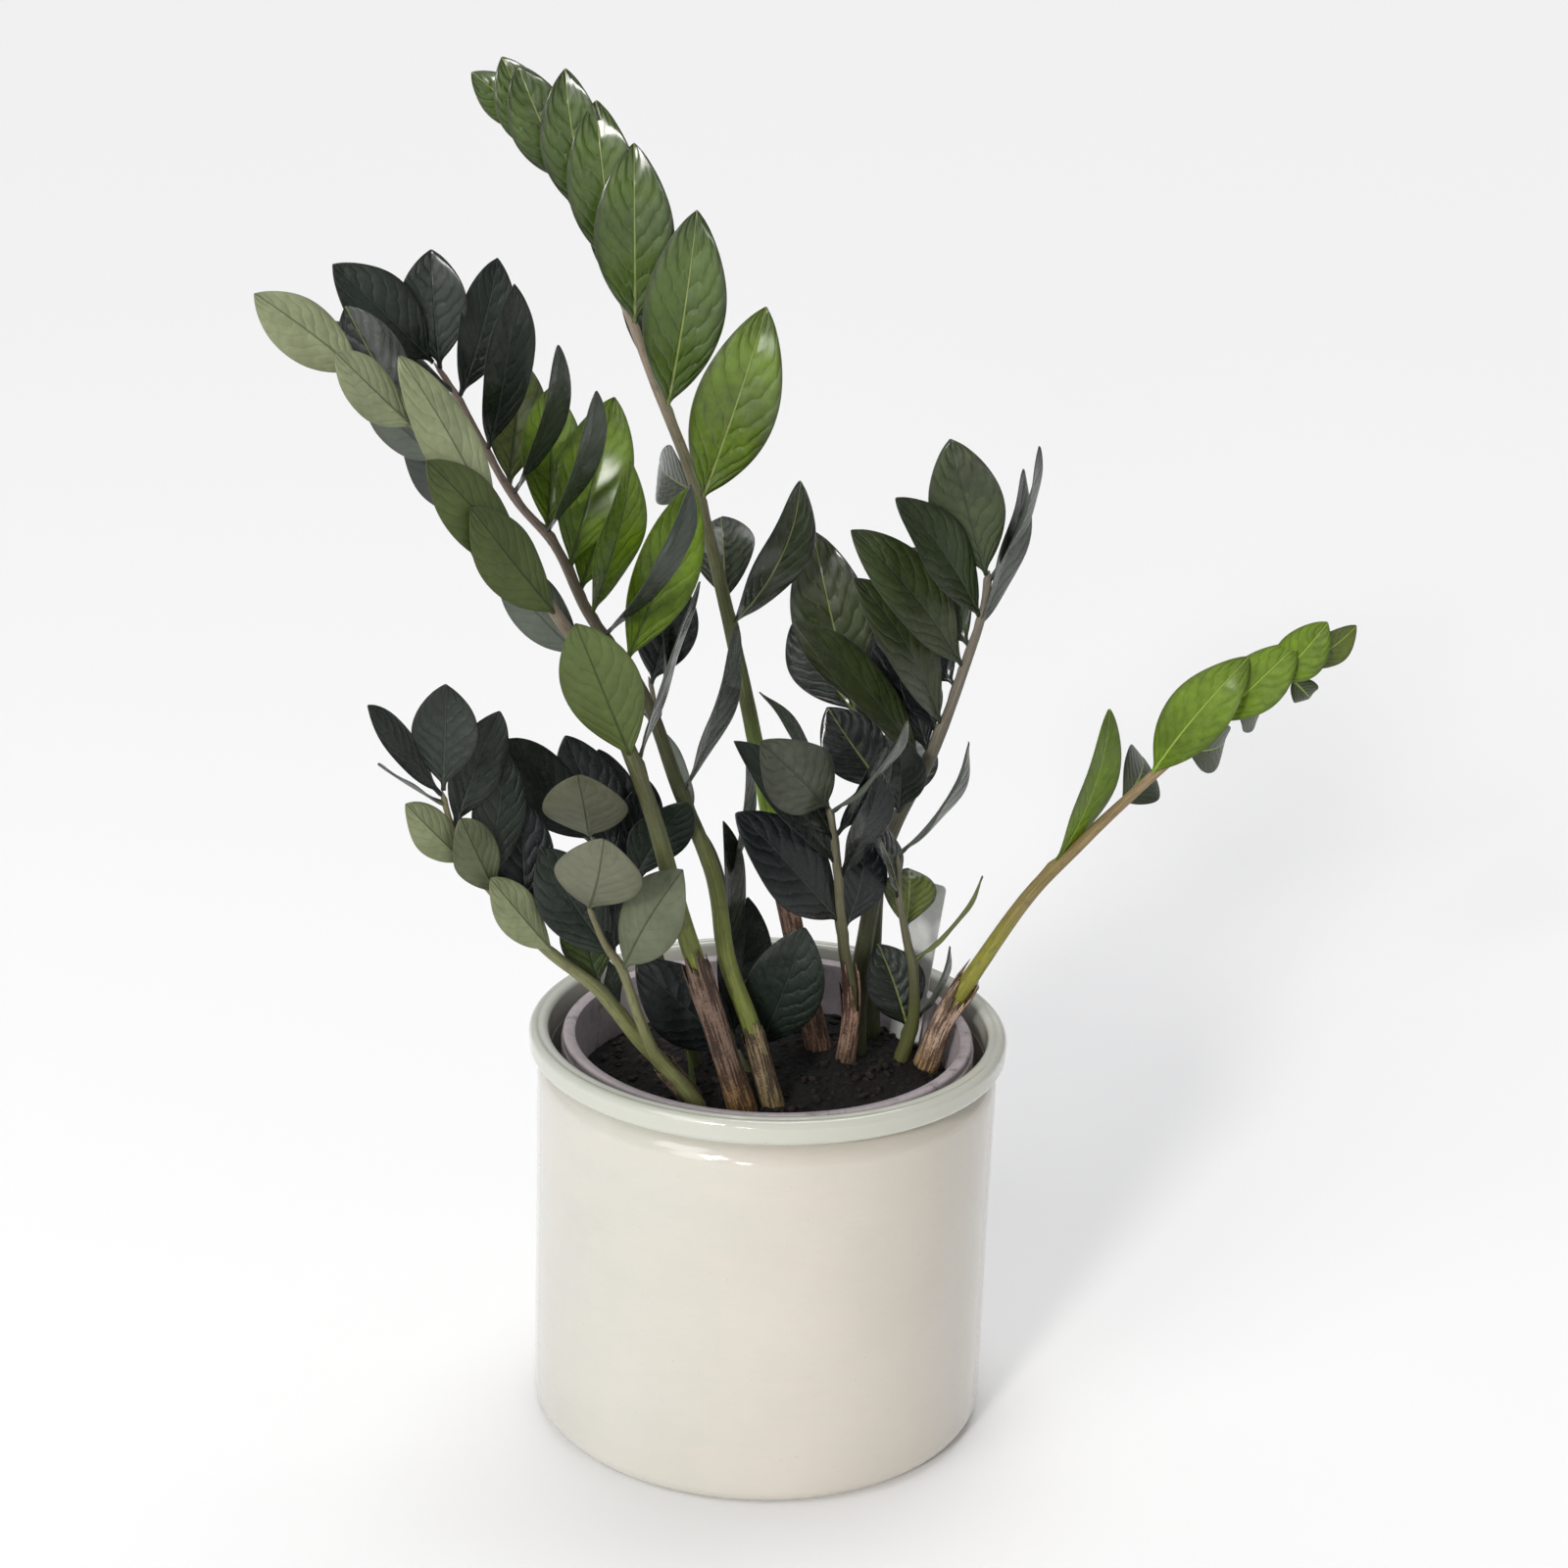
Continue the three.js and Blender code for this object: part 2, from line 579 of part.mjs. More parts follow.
// The stem with its planted foot, thickened by a clearance where it cuts its sheath.
function stemSolid(frond, stem, clearance) {
  const radiusAt = (t) => stem.radiusAt(t) + clearance;
  const shaft = toSolid(bendTube(stem, 0, 1, radiusAt, STEM_SIDES, stem.steps));
  const footRadius = frond.base + clearance;
  const footTop = frond.base;
  const footLength = PLANTING_DEPTH + footTop + clearance;
  const foot = new THREE.CylinderGeometry(footRadius, footRadius, footLength, STEM_SIDES);
  foot.rotateX(Math.PI / 2).translate(0, 0, footTop - footLength / 2);
  return shaft.add(toSolid(foot.translate(stem.foot.x, stem.foot.y, stem.foot.z)));
}

function makeStemWithLeaflets(frond, stem) {
  let solid = stemSolid(frond, stem, 0);
  for (const row of frond.leaflets.filter((leaflet) => !leaflet[6])) {
    solid = solid.add(toSolid(placeLeaf(stem, frond, row)));
  }
  return toGeometry(solid);
}

function makeSheath(frond, stem, { from, to }) {
  const outer = (t) => stem.radiusAt(t) + GAP * 2 + SHEATH_THICKNESS;
  const sleeve = toSolid(bendTube(stem, from, to, outer, STEM_SIDES, SHEATH_STEPS));
  return toGeometry(sleeve.subtract(stemSolid(frond, stem, GAP)));
}

// ---------------------------------------------------------------- assembly
addMesh('cachepot', makePot(), GLAZE);
addMesh('grower_pot', makeGrowerPot(), GROWER_PLASTIC);
addMesh('plant_label', makeLabel(0), LABEL_PLASTIC);

const sockets = [toSolid(makeLabel(GAP))];
for (const [name, frond] of Object.entries(FRONDS)) {
  const stem = makeStem(frond);
  const plant = new THREE.Group();
  root.add(plant);
  addMesh(`${name}_stem`, makeStemWithLeaflets(frond, stem), STEM_SKIN, plant);
  for (const row of frond.leaflets.filter((leaflet) => leaflet[6])) {
    addMesh(row[6], placeLeaf(stem, frond, row), frond.leaf, plant);
  }
  if (SHEATHS[name]) {
    addMesh(`${name}_sheath`, makeSheath(frond, stem, SHEATHS[name]), PAPERY_SHEATH, plant);
  }
  sockets.push(stemSocket(frond, stem));
}
addMesh('soil', makeSoil(sockets), PEAT);

export default root;
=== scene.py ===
"""Looks of a potted ZZ plant: glossy fronds in peat, in a grower's pot, in a glazed cachepot.

Lengths in the rows below are millimetres and become metres when a piece is made. +Z is up, -Y is
the front, and the origin is the centre of the cachepot's underside.
"""

import logging  # noqa: E402
import math  # noqa: E402
import random  # noqa: E402
from dataclasses import dataclass, field  # noqa: E402
from enum import Enum  # noqa: E402
from typing import Callable, Iterable, Sequence  # noqa: E402

import bmesh  # noqa: E402
import bpy  # noqa: E402
from mathutils import Matrix, Vector, noise  # noqa: E402


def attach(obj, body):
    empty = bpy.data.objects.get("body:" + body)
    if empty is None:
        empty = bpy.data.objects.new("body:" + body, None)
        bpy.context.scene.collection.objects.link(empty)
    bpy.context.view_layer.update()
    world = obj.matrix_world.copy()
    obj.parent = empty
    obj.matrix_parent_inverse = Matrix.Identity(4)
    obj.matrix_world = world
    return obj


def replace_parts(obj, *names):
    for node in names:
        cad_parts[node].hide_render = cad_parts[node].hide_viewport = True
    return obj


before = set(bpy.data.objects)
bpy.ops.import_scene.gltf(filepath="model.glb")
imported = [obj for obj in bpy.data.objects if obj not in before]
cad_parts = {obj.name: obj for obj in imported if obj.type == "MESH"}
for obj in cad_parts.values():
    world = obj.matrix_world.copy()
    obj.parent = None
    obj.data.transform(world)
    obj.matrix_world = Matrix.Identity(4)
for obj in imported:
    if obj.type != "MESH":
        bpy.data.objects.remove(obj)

LOG = logging.getLogger("zz_plant")
MM = 0.001
ROOT = "root"
SOIL_LEVEL = 166.0

Colour = tuple[float, float, float, float]
Profile = Sequence[tuple[float, float]]
Maker = bmesh.types.BMesh
Piece = bpy.types.Object
Material = bpy.types.Material
Tree = bpy.types.NodeTree
Socket = bpy.types.NodeSocket


def shade(red: int, green: int, blue: int) -> Colour:
    """Turns a display colour of 0 to 255 per channel into a linear colour."""

    def linear(channel: int) -> float:
        """Undoes the display curve on one channel."""
        value = channel / 255
        return value / 12.92 if value <= 0.04045 else ((value + 0.055) / 1.055) ** 2.4

    return linear(red), linear(green), linear(blue), 1.0


def blend(low: float, high: float, share: float) -> float:
    """Mixes two numbers by a share of 0 to 1."""
    return low + (high - low) * share


def ease(low: float, high: float, value: float) -> float:
    """Rises smoothly from 0 at low to 1 at high."""
    share = min(1.0, max(0.0, (value - low) / (high - low)))
    return share * share * (3 - 2 * share)


def mix_colours(first: Colour, second: Colour, share: float) -> Colour:
    """Mixes two linear colours by a share of 0 to 1."""
    return tuple(blend(a, b, share) for a, b in zip(first, second))  # type: ignore[return-value]


# ------------------------------------------------------------------------ what the plant is made of
class Tone(Enum):
    """A leaflet's colours: its glossy upper face, and its matte underside."""

    LUSH = (shade(88, 114, 10), shade(118, 134, 78))
    VERDANT = (shade(66, 90, 16), shade(108, 124, 72))
    # BRIGHT is a fresh yellow-green. On the inner left frond's leaflets it is partly painted light shining
    # through the thin blades.
    BRIGHT = (shade(98, 126, 6), shade(132, 152, 52))
    OLIVE = (shade(86, 100, 30), shade(110, 120, 68))
    GRASS = (shade(58, 74, 30), shade(84, 98, 50))
    DEEP = (shade(42, 56, 26), shade(78, 90, 60))
    MOSS = (shade(54, 66, 34), shade(88, 96, 68))
    DUSTY = (shade(64, 69, 52), shade(96, 102, 82))
    SLATE = (shade(31, 41, 35), shade(78, 86, 76))
    INK = (shade(15, 22, 26), shade(54, 62, 58))
    PEWTER = (shade(66, 76, 66), shade(88, 96, 86))
    SAGE = (shade(50, 58, 40), shade(150, 158, 122))
    DUSTY_SAGE = (shade(44, 52, 38), shade(110, 118, 90))
    TAUPE = (shade(44, 48, 40), shade(116, 118, 98))

    @property
    def upper(self) -> Colour:
        """The glossy face's colour."""
        return self.value[0]

    @property
    def under(self) -> Colour:
        """The underside's colour."""
        return self.value[1]

    @property
    def dust(self) -> float:
        """How dusty a leaflet of this tone is."""
        return {"DUSTY": 0.2, "TAUPE": 0.2, "MOSS": 0.06}.get(self.name, 0.04)


class Bark(Enum):
    """A stem's colours at its foot, its middle and its tip."""

    TALL = (shade(140, 178, 40), shade(104, 112, 66), shade(158, 142, 128))
    OUTER = (shade(124, 134, 62), shade(92, 96, 62), shade(152, 134, 124))
    TAUPE = (shade(84, 90, 58), shade(92, 90, 72), shade(124, 116, 104))
    OLIVE = (shade(100, 106, 60), shade(100, 102, 72), shade(120, 116, 96))
    ARCHING = (shade(148, 146, 52), shade(140, 124, 74), shade(158, 132, 104))
    PALE = (shade(136, 142, 92), shade(130, 134, 92), shade(126, 122, 92))

    def at(self, share: float) -> Colour:
        """The colour at a share of the stem's length."""
        foot, middle, top = self.value
        if share < 0.42:
            return mix_colours(foot, middle, ease(0.24, 0.4, share))
        return mix_colours(middle, top, ease(0.42, 0.85, share))


@dataclass(frozen=True)
class Leaflet:
    """One leaflet of a frond.

    at is where it joins, as a share of the stem's length. lean is its tip's direction from there, in
    degrees from upright towards +X, and back is how far that direction lies away from the front. turn
    is its turn about its own midrib: 0 shows the glossy face to the front and 180 the underside.
    reach runs from the stem's centre to the tip, and wide is the blade's greatest width.
    """

    at: float
    lean: float
    back: float
    turn: float
    reach: float
    wide: float
    tone: Tone
    node: str = ""

    @property
    def heading(self) -> Vector:
        """The direction from the stem's centre to the tip."""
        lean, back = math.radians(self.lean), math.radians(self.back)
        level = math.cos(back)
        return Vector((math.sin(lean) * level, math.sin(back), math.cos(lean) * level))


@dataclass(frozen=True)
class Frond:
    """A stem and its leaflets.

    route runs from the soil to the tip, in heights above the soil. base and tip are the stem's radii,
    and bow and fold are the blades' arch and the rise of their two halves.
    """

    name: str
    slot: str
    bark: Bark
    base: float
    tip: float
    bow: float
    fold: float
    route: tuple[tuple[float, float, float], ...]
    leaflets: tuple[Leaflet, ...]


@dataclass(frozen=True)
class Wrap:
    """A papery sheath on a stretch of a stem.

    stand_off is how far its top stands off the stem, and tatter how deeply its top is torn. modelled
    says whether the part has a sheath of its own there.
    """

    start: float
    end: float
    stand_off: float
    tatter: float
    foot_tint: Colour
    tint: Colour
    modelled: bool = True


FRONDS: tuple[Frond, ...] = (
    Frond(
        "tall", "leaf_green", Bark.TALL, base=5.2, tip=1.4, bow=0.09, fold=0.16,
        route=((25, 20, -1), (11, 28, 55), (-2, 35, 109), (-17, 45, 173), (-42, 60, 262),
            (-61, 68, 306), (-73, 74, 334), (-88, 80, 366), (-102, 86, 393), (-115, 92, 411)),
        leaflets=(
            Leaflet(0.60, 17, -10, 0, 98, 38, Tone.LUSH, "tall_leaf_1"),
            Leaflet(0.70, 8, -10, 0, 94, 37, Tone.VERDANT, "tall_leaf_2"),
            Leaflet(0.79, 0, -10, 0, 84, 36, Tone.VERDANT, "tall_leaf_3"),
            Leaflet(0.85, -5, -10, 0, 77, 33, Tone.VERDANT, "tall_leaf_4"),
            Leaflet(0.90, -9, -10, 0, 71, 30, Tone.VERDANT, "tall_leaf_5"),
            Leaflet(0.94, -24, -10, 0, 60, 29, Tone.VERDANT, "tall_leaf_6"),
            Leaflet(0.97, -28, -10, 0, 53, 26, Tone.VERDANT, "tall_leaf_7"),
            Leaflet(1.00, -48, -5, 15, 42, 20, Tone.VERDANT, "tall_leaf_8"),
            Leaflet(0.47, 24, -14, 42, 80, 32, Tone.DEEP, "tall_leaf_9"),
            Leaflet(0.61, -80, 65, 0, 46, 28, Tone.MOSS),
            Leaflet(0.49, -8, 55, 0, 54, 30, Tone.DEEP),
            Leaflet(0.73, 0, 45, 0, 74, 32, Tone.DEEP),
            Leaflet(0.81, -5, 48, 0, 70, 30, Tone.DEEP),
            Leaflet(0.88, -10, 48, 0, 64, 28, Tone.DEEP),
            Leaflet(0.94, -20, 50, 0, 52, 25, Tone.DEEP),
        ),
    ),
    Frond(
        "outer_left", "leaf_green", Bark.OUTER, base=5.6, tip=1.3, bow=-0.02, fold=0.16,
        route=((-9, -48, -1), (-22, -49, 40), (-39, -52, 93), (-54, -56, 147), (-78, -62, 207),
            (-98, -66, 239), (-126, -72, 277), (-147, -78, 309), (-170, -84, 335)),
        leaflets=(
            Leaflet(0.47, -19, -20, 180, 74, 34, Tone.GRASS, "outer_left_leaf_1"),
            Leaflet(0.66, -34, -20, 226, 64, 31, Tone.GRASS, "outer_left_leaf_2"),
            Leaflet(0.72, -36, -22, 224, 69, 30, Tone.GRASS, "outer_left_leaf_3"),
            Leaflet(0.77, -27, -6, 228, 86, 29, Tone.SAGE, "outer_left_leaf_4"),
            Leaflet(0.92, -41, -25, 228, 50, 25, Tone.SAGE),
            Leaflet(1.00, -53, -6, 222, 54, 28, Tone.SAGE, "outer_left_leaf_5"),
            Leaflet(0.46, 18, 8, 80, 84, 26, Tone.SLATE),
            Leaflet(0.60, -50, 22, 160, 55, 29, Tone.SLATE),
            Leaflet(0.69, -52, 25, 160, 50, 29, Tone.SLATE),
            Leaflet(0.79, -50, 22, 160, 52, 28, Tone.INK),
            Leaflet(0.87, -55, 24, 160, 48, 27, Tone.SLATE),
            Leaflet(0.93, -37, 32, 20, 60, 26, Tone.SLATE),
        ),
    ),
    Frond(
        "inner_left", "leaf_dark", Bark.OUTER, base=5, tip=1.2, bow=0.05, fold=0.25,
        route=((4, -42, -1), (-7, -37, 36), (-19, -33, 67), (-26, -28, 104), (-43, -22, 144),
            (-60, -14, 185), (-85, -6, 218), (-100, 0, 246), (-119, 6, 266), (-145, 16, 308),
            (-155, 20, 321)),
        leaflets=(
            Leaflet(1.00, -42, -18, 34, 63, 31, Tone.SLATE, "inner_left_leaf_1"),
            Leaflet(0.99, -4, 3, 0, 52, 30, Tone.SLATE, "inner_left_leaf_2"),
            Leaflet(0.95, 15, 19, 28, 64, 26, Tone.SLATE, "inner_left_leaf_3"),
            Leaflet(0.88, 10, -8, 42, 77, 27, Tone.SLATE, "inner_left_leaf_4"),
            # The BRIGHT leaflets of this frond are partly painted light: their yellow-green stands in for light
            # shining through the blades.
            Leaflet(0.71, 14, 15, 0, 78, 33, Tone.BRIGHT, "inner_left_leaf_5"),
            Leaflet(0.58, 20, 12, 20, 83, 31, Tone.BRIGHT, "inner_left_leaf_6"),
            Leaflet(0.41, 16, -8, 66, 85, 27, Tone.PEWTER),
            Leaflet(0.96, -58, -18, 85, 64, 22, Tone.PEWTER),
            Leaflet(0.82, 18, -18, 66, 78, 25, Tone.PEWTER),
            Leaflet(0.83, 2, 30, 0, 60, 27, Tone.OLIVE),
            Leaflet(0.76, 0, 18, 10, 64, 27, Tone.BRIGHT),
            Leaflet(0.76, 20, -27, 66, 84, 24, Tone.PEWTER),
            Leaflet(0.68, 20, 32, 0, 60, 27, Tone.BRIGHT),
            Leaflet(0.65, 15, -8, 45, 74, 26, Tone.BRIGHT),
            Leaflet(0.62, 27, -28, 62, 100, 26, Tone.PEWTER),
        ),
    ),
    Frond(
        "right", "leaf_dark", Bark.TAUPE, base=5, tip=1.6, bow=0.05, fold=0.2,
        route=((41, 21, -1), (42, 24, 41), (52, 28, 103), (71, 34, 146), (84, 38, 186), (91, 42, 211),
            (93, 45, 230)),
        leaflets=(
            Leaflet(0.99, -18, -3, 0, 66, 34, Tone.MOSS, "right_leaf_1"),
            Leaflet(0.91, -34, -18, 46, 76, 31, Tone.DEEP, "right_leaf_2"),
            Leaflet(0.81, -39, -13, 45, 89, 34, Tone.MOSS, "right_leaf_3"),
            Leaflet(0.69, -30, -16, 50, 90, 33, Tone.MOSS, "right_leaf_4"),
            Leaflet(0.60, -40, -12, 60, 99, 30, Tone.MOSS, "right_leaf_5"),
            Leaflet(0.98, 19, 0, 75, 66, 26, Tone.SLATE),
            Leaflet(0.50, -3, -22, 10, 46, 24, Tone.SLATE),
            Leaflet(0.88, 15, 12, 60, 77, 28, Tone.PEWTER),
            Leaflet(0.63, -25, 14, 20, 66, 27, Tone.INK),
            Leaflet(0.67, -29, 15, 40, 38, 22, Tone.INK),
            Leaflet(0.77, -43, 25, 10, 48, 32, Tone.INK),
            Leaflet(0.85, -39, 22, 10, 56, 32, Tone.DEEP),
        ),
    ),
    Frond(
        "back_right", "leaf_green", Bark.TAUPE, base=4, tip=1.3, bow=0.05, fold=0.16,
        route=((49, 45, -1), (49, 47, 44), (50, 50, 83), (53, 54, 117), (44, 60, 137), (35, 66, 157)),
        leaflets=(
            Leaflet(1.00, -15, 0, 0, 86, 37, Tone.MOSS, "back_right_leaf_1"),
            Leaflet(0.69, 23, 54, 0, 50, 31, Tone.SLATE),
            Leaflet(0.74, -37, 0, 10, 50, 30, Tone.INK),
            Leaflet(0.98, -42, 28, 10, 54, 28, Tone.SLATE),
            Leaflet(0.89, 2, 24, 0, 76, 31, Tone.INK),
        ),
    ),
    Frond(
        "front", "leaf_dark", Bark.OLIVE, base=4, tip=1.3, bow=0.06, fold=0.2,
        route=((36, 8, -1), (38, 2, 33), (33, -6, 66), (30, -12, 93), (28, -18, 114), (24, -24, 138)),
        leaflets=(
            Leaflet(1.00, -37, -36, 20, 63, 33, Tone.DUSTY, "front_leaf_1"),
            Leaflet(0.79, -37, -14, 60, 80, 27, Tone.SLATE, "front_leaf_2"),
            Leaflet(0.57, -39, -18, 40, 79, 36, Tone.INK, "front_leaf_3"),
            Leaflet(0.88, -36, -18, 60, 45, 22, Tone.INK),
            Leaflet(0.97, -31, 10, 78, 63, 16, Tone.PEWTER),
            Leaflet(0.98, 34, -15, 75, 60, 24, Tone.PEWTER),
            Leaflet(0.89, 28, 6, 50, 47, 25, Tone.SLATE),
            Leaflet(0.73, 17, -8, 50, 58, 28, Tone.INK),
            Leaflet(0.53, 11, 10, 30, 46, 27, Tone.INK),
        ),
    ),
    Frond(
        "slim", "leaf_green", Bark.OLIVE, base=3.6, tip=1, bow=0.06, fold=0.3,
        route=((62, 17, -1), (67, 13, 21), (66, 10, 47), (62, 8, 65), (58, 4, 85), (56, 0, 108)),
        leaflets=(
            Leaflet(1.00, 30, 0, 70, 62, 24, Tone.PEWTER),
            Leaflet(0.80, -22, -13, 65, 45, 20, Tone.INK),
            Leaflet(0.49, 38, 6, 80, 52, 12, Tone.OLIVE),
            Leaflet(0.63, 4, 49, 0, 34, 25, Tone.OLIVE),
            Leaflet(0.16, -23, 11, 20, 44, 29, Tone.SLATE),
            Leaflet(0.20, 26, 15, 70, 40, 17, Tone.PEWTER),
        ),
    ),
    Frond(
        "arching", "leaf_bright", Bark.ARCHING, base=5, tip=1, bow=0.08, fold=0.18,
        route=((74, 13, -1), (82, 12, 24), (96, 11, 51), (118, 6, 90), (135, 2, 112), (150, 0, 130),
            (179, -4, 162), (204, -6, 184), (225, -8, 203)),
        leaflets=(
            Leaflet(0.46, 13, -10, 50, 83, 29, Tone.BRIGHT, "arching_leaf_1"),
            Leaflet(0.70, 31, -10, -20, 71, 28, Tone.BRIGHT, "arching_leaf_2"),
            Leaflet(0.84, 37, -9, -15, 52, 25, Tone.BRIGHT),
            Leaflet(0.62, 55, 69, 0, 48, 28, Tone.MOSS),
            Leaflet(0.95, 34, -10, -10, 40, 22, Tone.BRIGHT),
            Leaflet(1.00, 51, 0, 20, 34, 18, Tone.OLIVE),
            Leaflet(0.99, 137, 30, 0, 22, 13, Tone.GRASS),
            Leaflet(0.88, 118, 60, 0, 38, 18, Tone.MOSS),
            Leaflet(0.77, 104, 57, 0, 46, 23, Tone.MOSS),
        ),
    ),
    Frond(
        "low_left", "leaf_dark", Bark.PALE, base=4.4, tip=1, bow=-0.02, fold=0.14,
        route=((-33, -34, -1), (-46, -41, 19), (-57, -46, 33), (-75, -55, 60), (-98, -65, 83),
            (-116, -72, 106), (-133, -78, 132), (-140, -82, 159)),
        leaflets=(
            Leaflet(0.53, -31, -22, 226, 52, 22, Tone.SAGE, "low_left_leaf_1"),
            Leaflet(0.72, -19, -17, 220, 44, 23, Tone.DUSTY_SAGE, "low_left_leaf_2"),
            Leaflet(0.82, -36, -27, 226, 46, 20, Tone.SAGE),
            Leaflet(1.00, 3, -6, 0, 49, 28, Tone.SLATE, "low_left_leaf_3"),
            Leaflet(0.99, -36, -10, 76, 52, 24, Tone.SLATE),
            Leaflet(0.97, -52, -20, 110, 36, 16, Tone.PEWTER),
            Leaflet(0.91, 21, 14, 30, 54, 26, Tone.SLATE),
            Leaflet(0.75, 7, 12, 30, 58, 26, Tone.SLATE),
            Leaflet(0.62, -3, 12, 20, 57, 27, Tone.INK),
            Leaflet(0.38, -16, 14, 30, 42, 26, Tone.GRASS),
            Leaflet(0.30, -13, 19, 60, 24, 13, Tone.PEWTER),
        ),
    ),
    Frond(
        "low_front", "leaf_dark", Bark.PALE, base=3.8, tip=1.2, bow=-0.05, fold=0.05,
        route=((-28, -47, -1), (-38, -51, 15), (-49, -54, 29), (-57, -58, 50), (-65, -62, 74),
            (-71, -66, 85), (-79, -71, 106)),
        leaflets=(
            Leaflet(0.99, 11, -46, 180, 74, 38, Tone.TAUPE, "low_front_leaf_1"),
            Leaflet(0.69, 26, -18, 150, 64, 31, Tone.DUSTY),
            Leaflet(0.73, -32, -5, 30, 63, 31, Tone.SLATE),
            Leaflet(0.76, 2, 28, 20, 34, 26, Tone.INK),
        ),
    ),
    Frond(
        "low_back", "leaf_dark", Bark.OLIVE, base=2.8, tip=1.2, bow=-0.05, fold=0.05,
        route=((-32, -2, -1), (-38, -6, 20), (-48, -14, 53), (-55, -22, 80), (-63, -28, 100),
            (-73, -34, 115), (-81, -38, 126)),
        leaflets=(
            Leaflet(1.00, -2, -48, 180, 66, 37, Tone.TAUPE, "low_back_leaf_1"),
            Leaflet(0.96, -38, -7, 45, 63, 31, Tone.SLATE),
            Leaflet(0.85, -22, 5, 20, 63, 29, Tone.INK),
            Leaflet(0.79, -14, 12, 20, 59, 29, Tone.INK),
            Leaflet(0.98, -42, -14, 60, 53, 26, Tone.SLATE),
            Leaflet(0.73, 4, 8, 30, 52, 25, Tone.INK),
            Leaflet(0.77, 30, -16, 20, 53, 28, Tone.SLATE),
        ),
    ),
    Frond(
        "back_left", "leaf_dark", Bark.OLIVE, base=2.4, tip=1, bow=0.05, fold=0.25,
        route=((-5, 38, -1), (-11, 40, 24), (-28, 46, 88), (-38, 50, 104), (-53, 56, 140),
            (-61, 60, 170)),
        leaflets=(
            Leaflet(0.62, -22, -10, 110, 60, 23, Tone.PEWTER),
            Leaflet(0.98, 13, 0, 0, 53, 29, Tone.INK),
            Leaflet(0.89, 1, -10, 85, 56, 16, Tone.PEWTER),
        ),
    ),
    Frond(
        "shoot_centre", "leaf_dark", Bark.OLIVE, base=2.4, tip=1.2, bow=0.05, fold=0.1,
        route=((-2, -12, -1), (-5, -14, 16)),
        leaflets=(
            Leaflet(1.00, 17, -12, 0, 71, 36, Tone.SLATE),
        ),
    ),
    Frond(
        "shoot_low", "leaf_dark", Bark.OLIVE, base=2.4, tip=1.2, bow=0.1, fold=0.1,
        route=((-8, -6, -1), (-14, -10, 14)),
        leaflets=(
            Leaflet(1.00, -45, -9, 20, 66, 34, Tone.INK),
        ),
    ),
    Frond(
        "shoot_upright", "leaf_dark", Bark.OLIVE, base=2.4, tip=1.2, bow=0.05, fold=0.3,
        route=((-16, 10, -1), (-23, 12, 48), (-22, 14, 84)),
        leaflets=(
            Leaflet(0.50, 0, 0, 70, 76, 26, Tone.PEWTER),
            Leaflet(1.00, 8, 5, 75, 63, 20, Tone.PEWTER),
            Leaflet(0.15, 6, 13, 20, 66, 27, Tone.SLATE),
        ),
    ),
)

WRAPS: dict[str, Wrap] = {
    "tall": Wrap(0.0, 0.25, 0.9, 17.0, shade(130, 104, 84), shade(176, 148, 132)),
    "outer_left": Wrap(0.0, 0.2, 0.7, 15.0, shade(150, 118, 66), shade(128, 108, 96)),
    "inner_left": Wrap(0.0, 0.1, 0.4, 9.0, shade(134, 120, 78), shade(150, 136, 108), modelled=False),
    "arching": Wrap(0.0, 0.17, 1.1, 18.0, shade(168, 140, 100), shade(200, 178, 160)),
    "front": Wrap(0.0, 0.3, 0.9, 20.0, shade(112, 92, 78), shade(176, 146, 130)),
    "low_left": Wrap(0.0, 0.13, 0.5, 5.0, shade(120, 106, 92), shade(150, 136, 112)),
}


# ------------------------------------------------------------------------ making meshes
def finish_mesh(
    mesh_maker: Maker, name: str, material: Material, levels: int = 0
) -> Piece:
    """Turns a bmesh into a smooth-shaded piece that rides on the plant's one body.

    Args:
        mesh_maker: The shape, in metres, in the row's frame. It is freed.
        name: The piece's name.
        material: Its finish.
        levels: Subdivision levels, the same on screen and in a render.

    Returns:
        The new object, at the origin.
    """
    mesh = bpy.data.meshes.new(name)
    mesh_maker.to_mesh(mesh)
    mesh_maker.free()
    for polygon in mesh.polygons:
        polygon.use_smooth = True
    piece = bpy.data.objects.new(name, mesh)
    bpy.context.scene.collection.objects.link(piece)
    piece.data.materials.append(material)
    if levels:
        surface = piece.modifiers.new("smooth", "SUBSURF")
        surface.levels = levels
        surface.render_levels = levels
    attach(piece, ROOT)
    LOG.info("%s: %d faces", name, len(mesh.polygons))
    return piece


def sharpen(piece: Piece, degrees: float) -> None:
    """Keeps edges sharper than this angle as edges, and shades the rest smooth."""
    piece.data.set_sharp_from_angle(angle=math.radians(degrees))


def turned(profile: Profile, steps: int) -> Maker:
    """Spins an open or closed outline of (radius, height) in millimetres about +Z.

    Args:
        profile: The outline's points. One that starts and ends on the axis makes a closed body.
        steps: Steps in the full turn.

    Returns:
        The turned shape, in metres, facing outwards.
    """
    maker = bmesh.new()
    corners = [maker.verts.new((radius * MM, 0.0, height * MM)) for radius, height in profile]
    edges = [maker.edges.new(pair) for pair in zip(corners, corners[1:])]
    bmesh.ops.spin(
        maker, geom=corners + edges, cent=(0, 0, 0), axis=(0, 0, 1), dvec=(0, 0, 0),
        angle=math.tau, steps=steps, use_merge=True, use_duplicate=False,
    )
    bmesh.ops.remove_doubles(maker, verts=maker.verts[:], dist=1e-6)
    bmesh.ops.recalc_face_normals(maker, faces=maker.faces[:])
    return maker


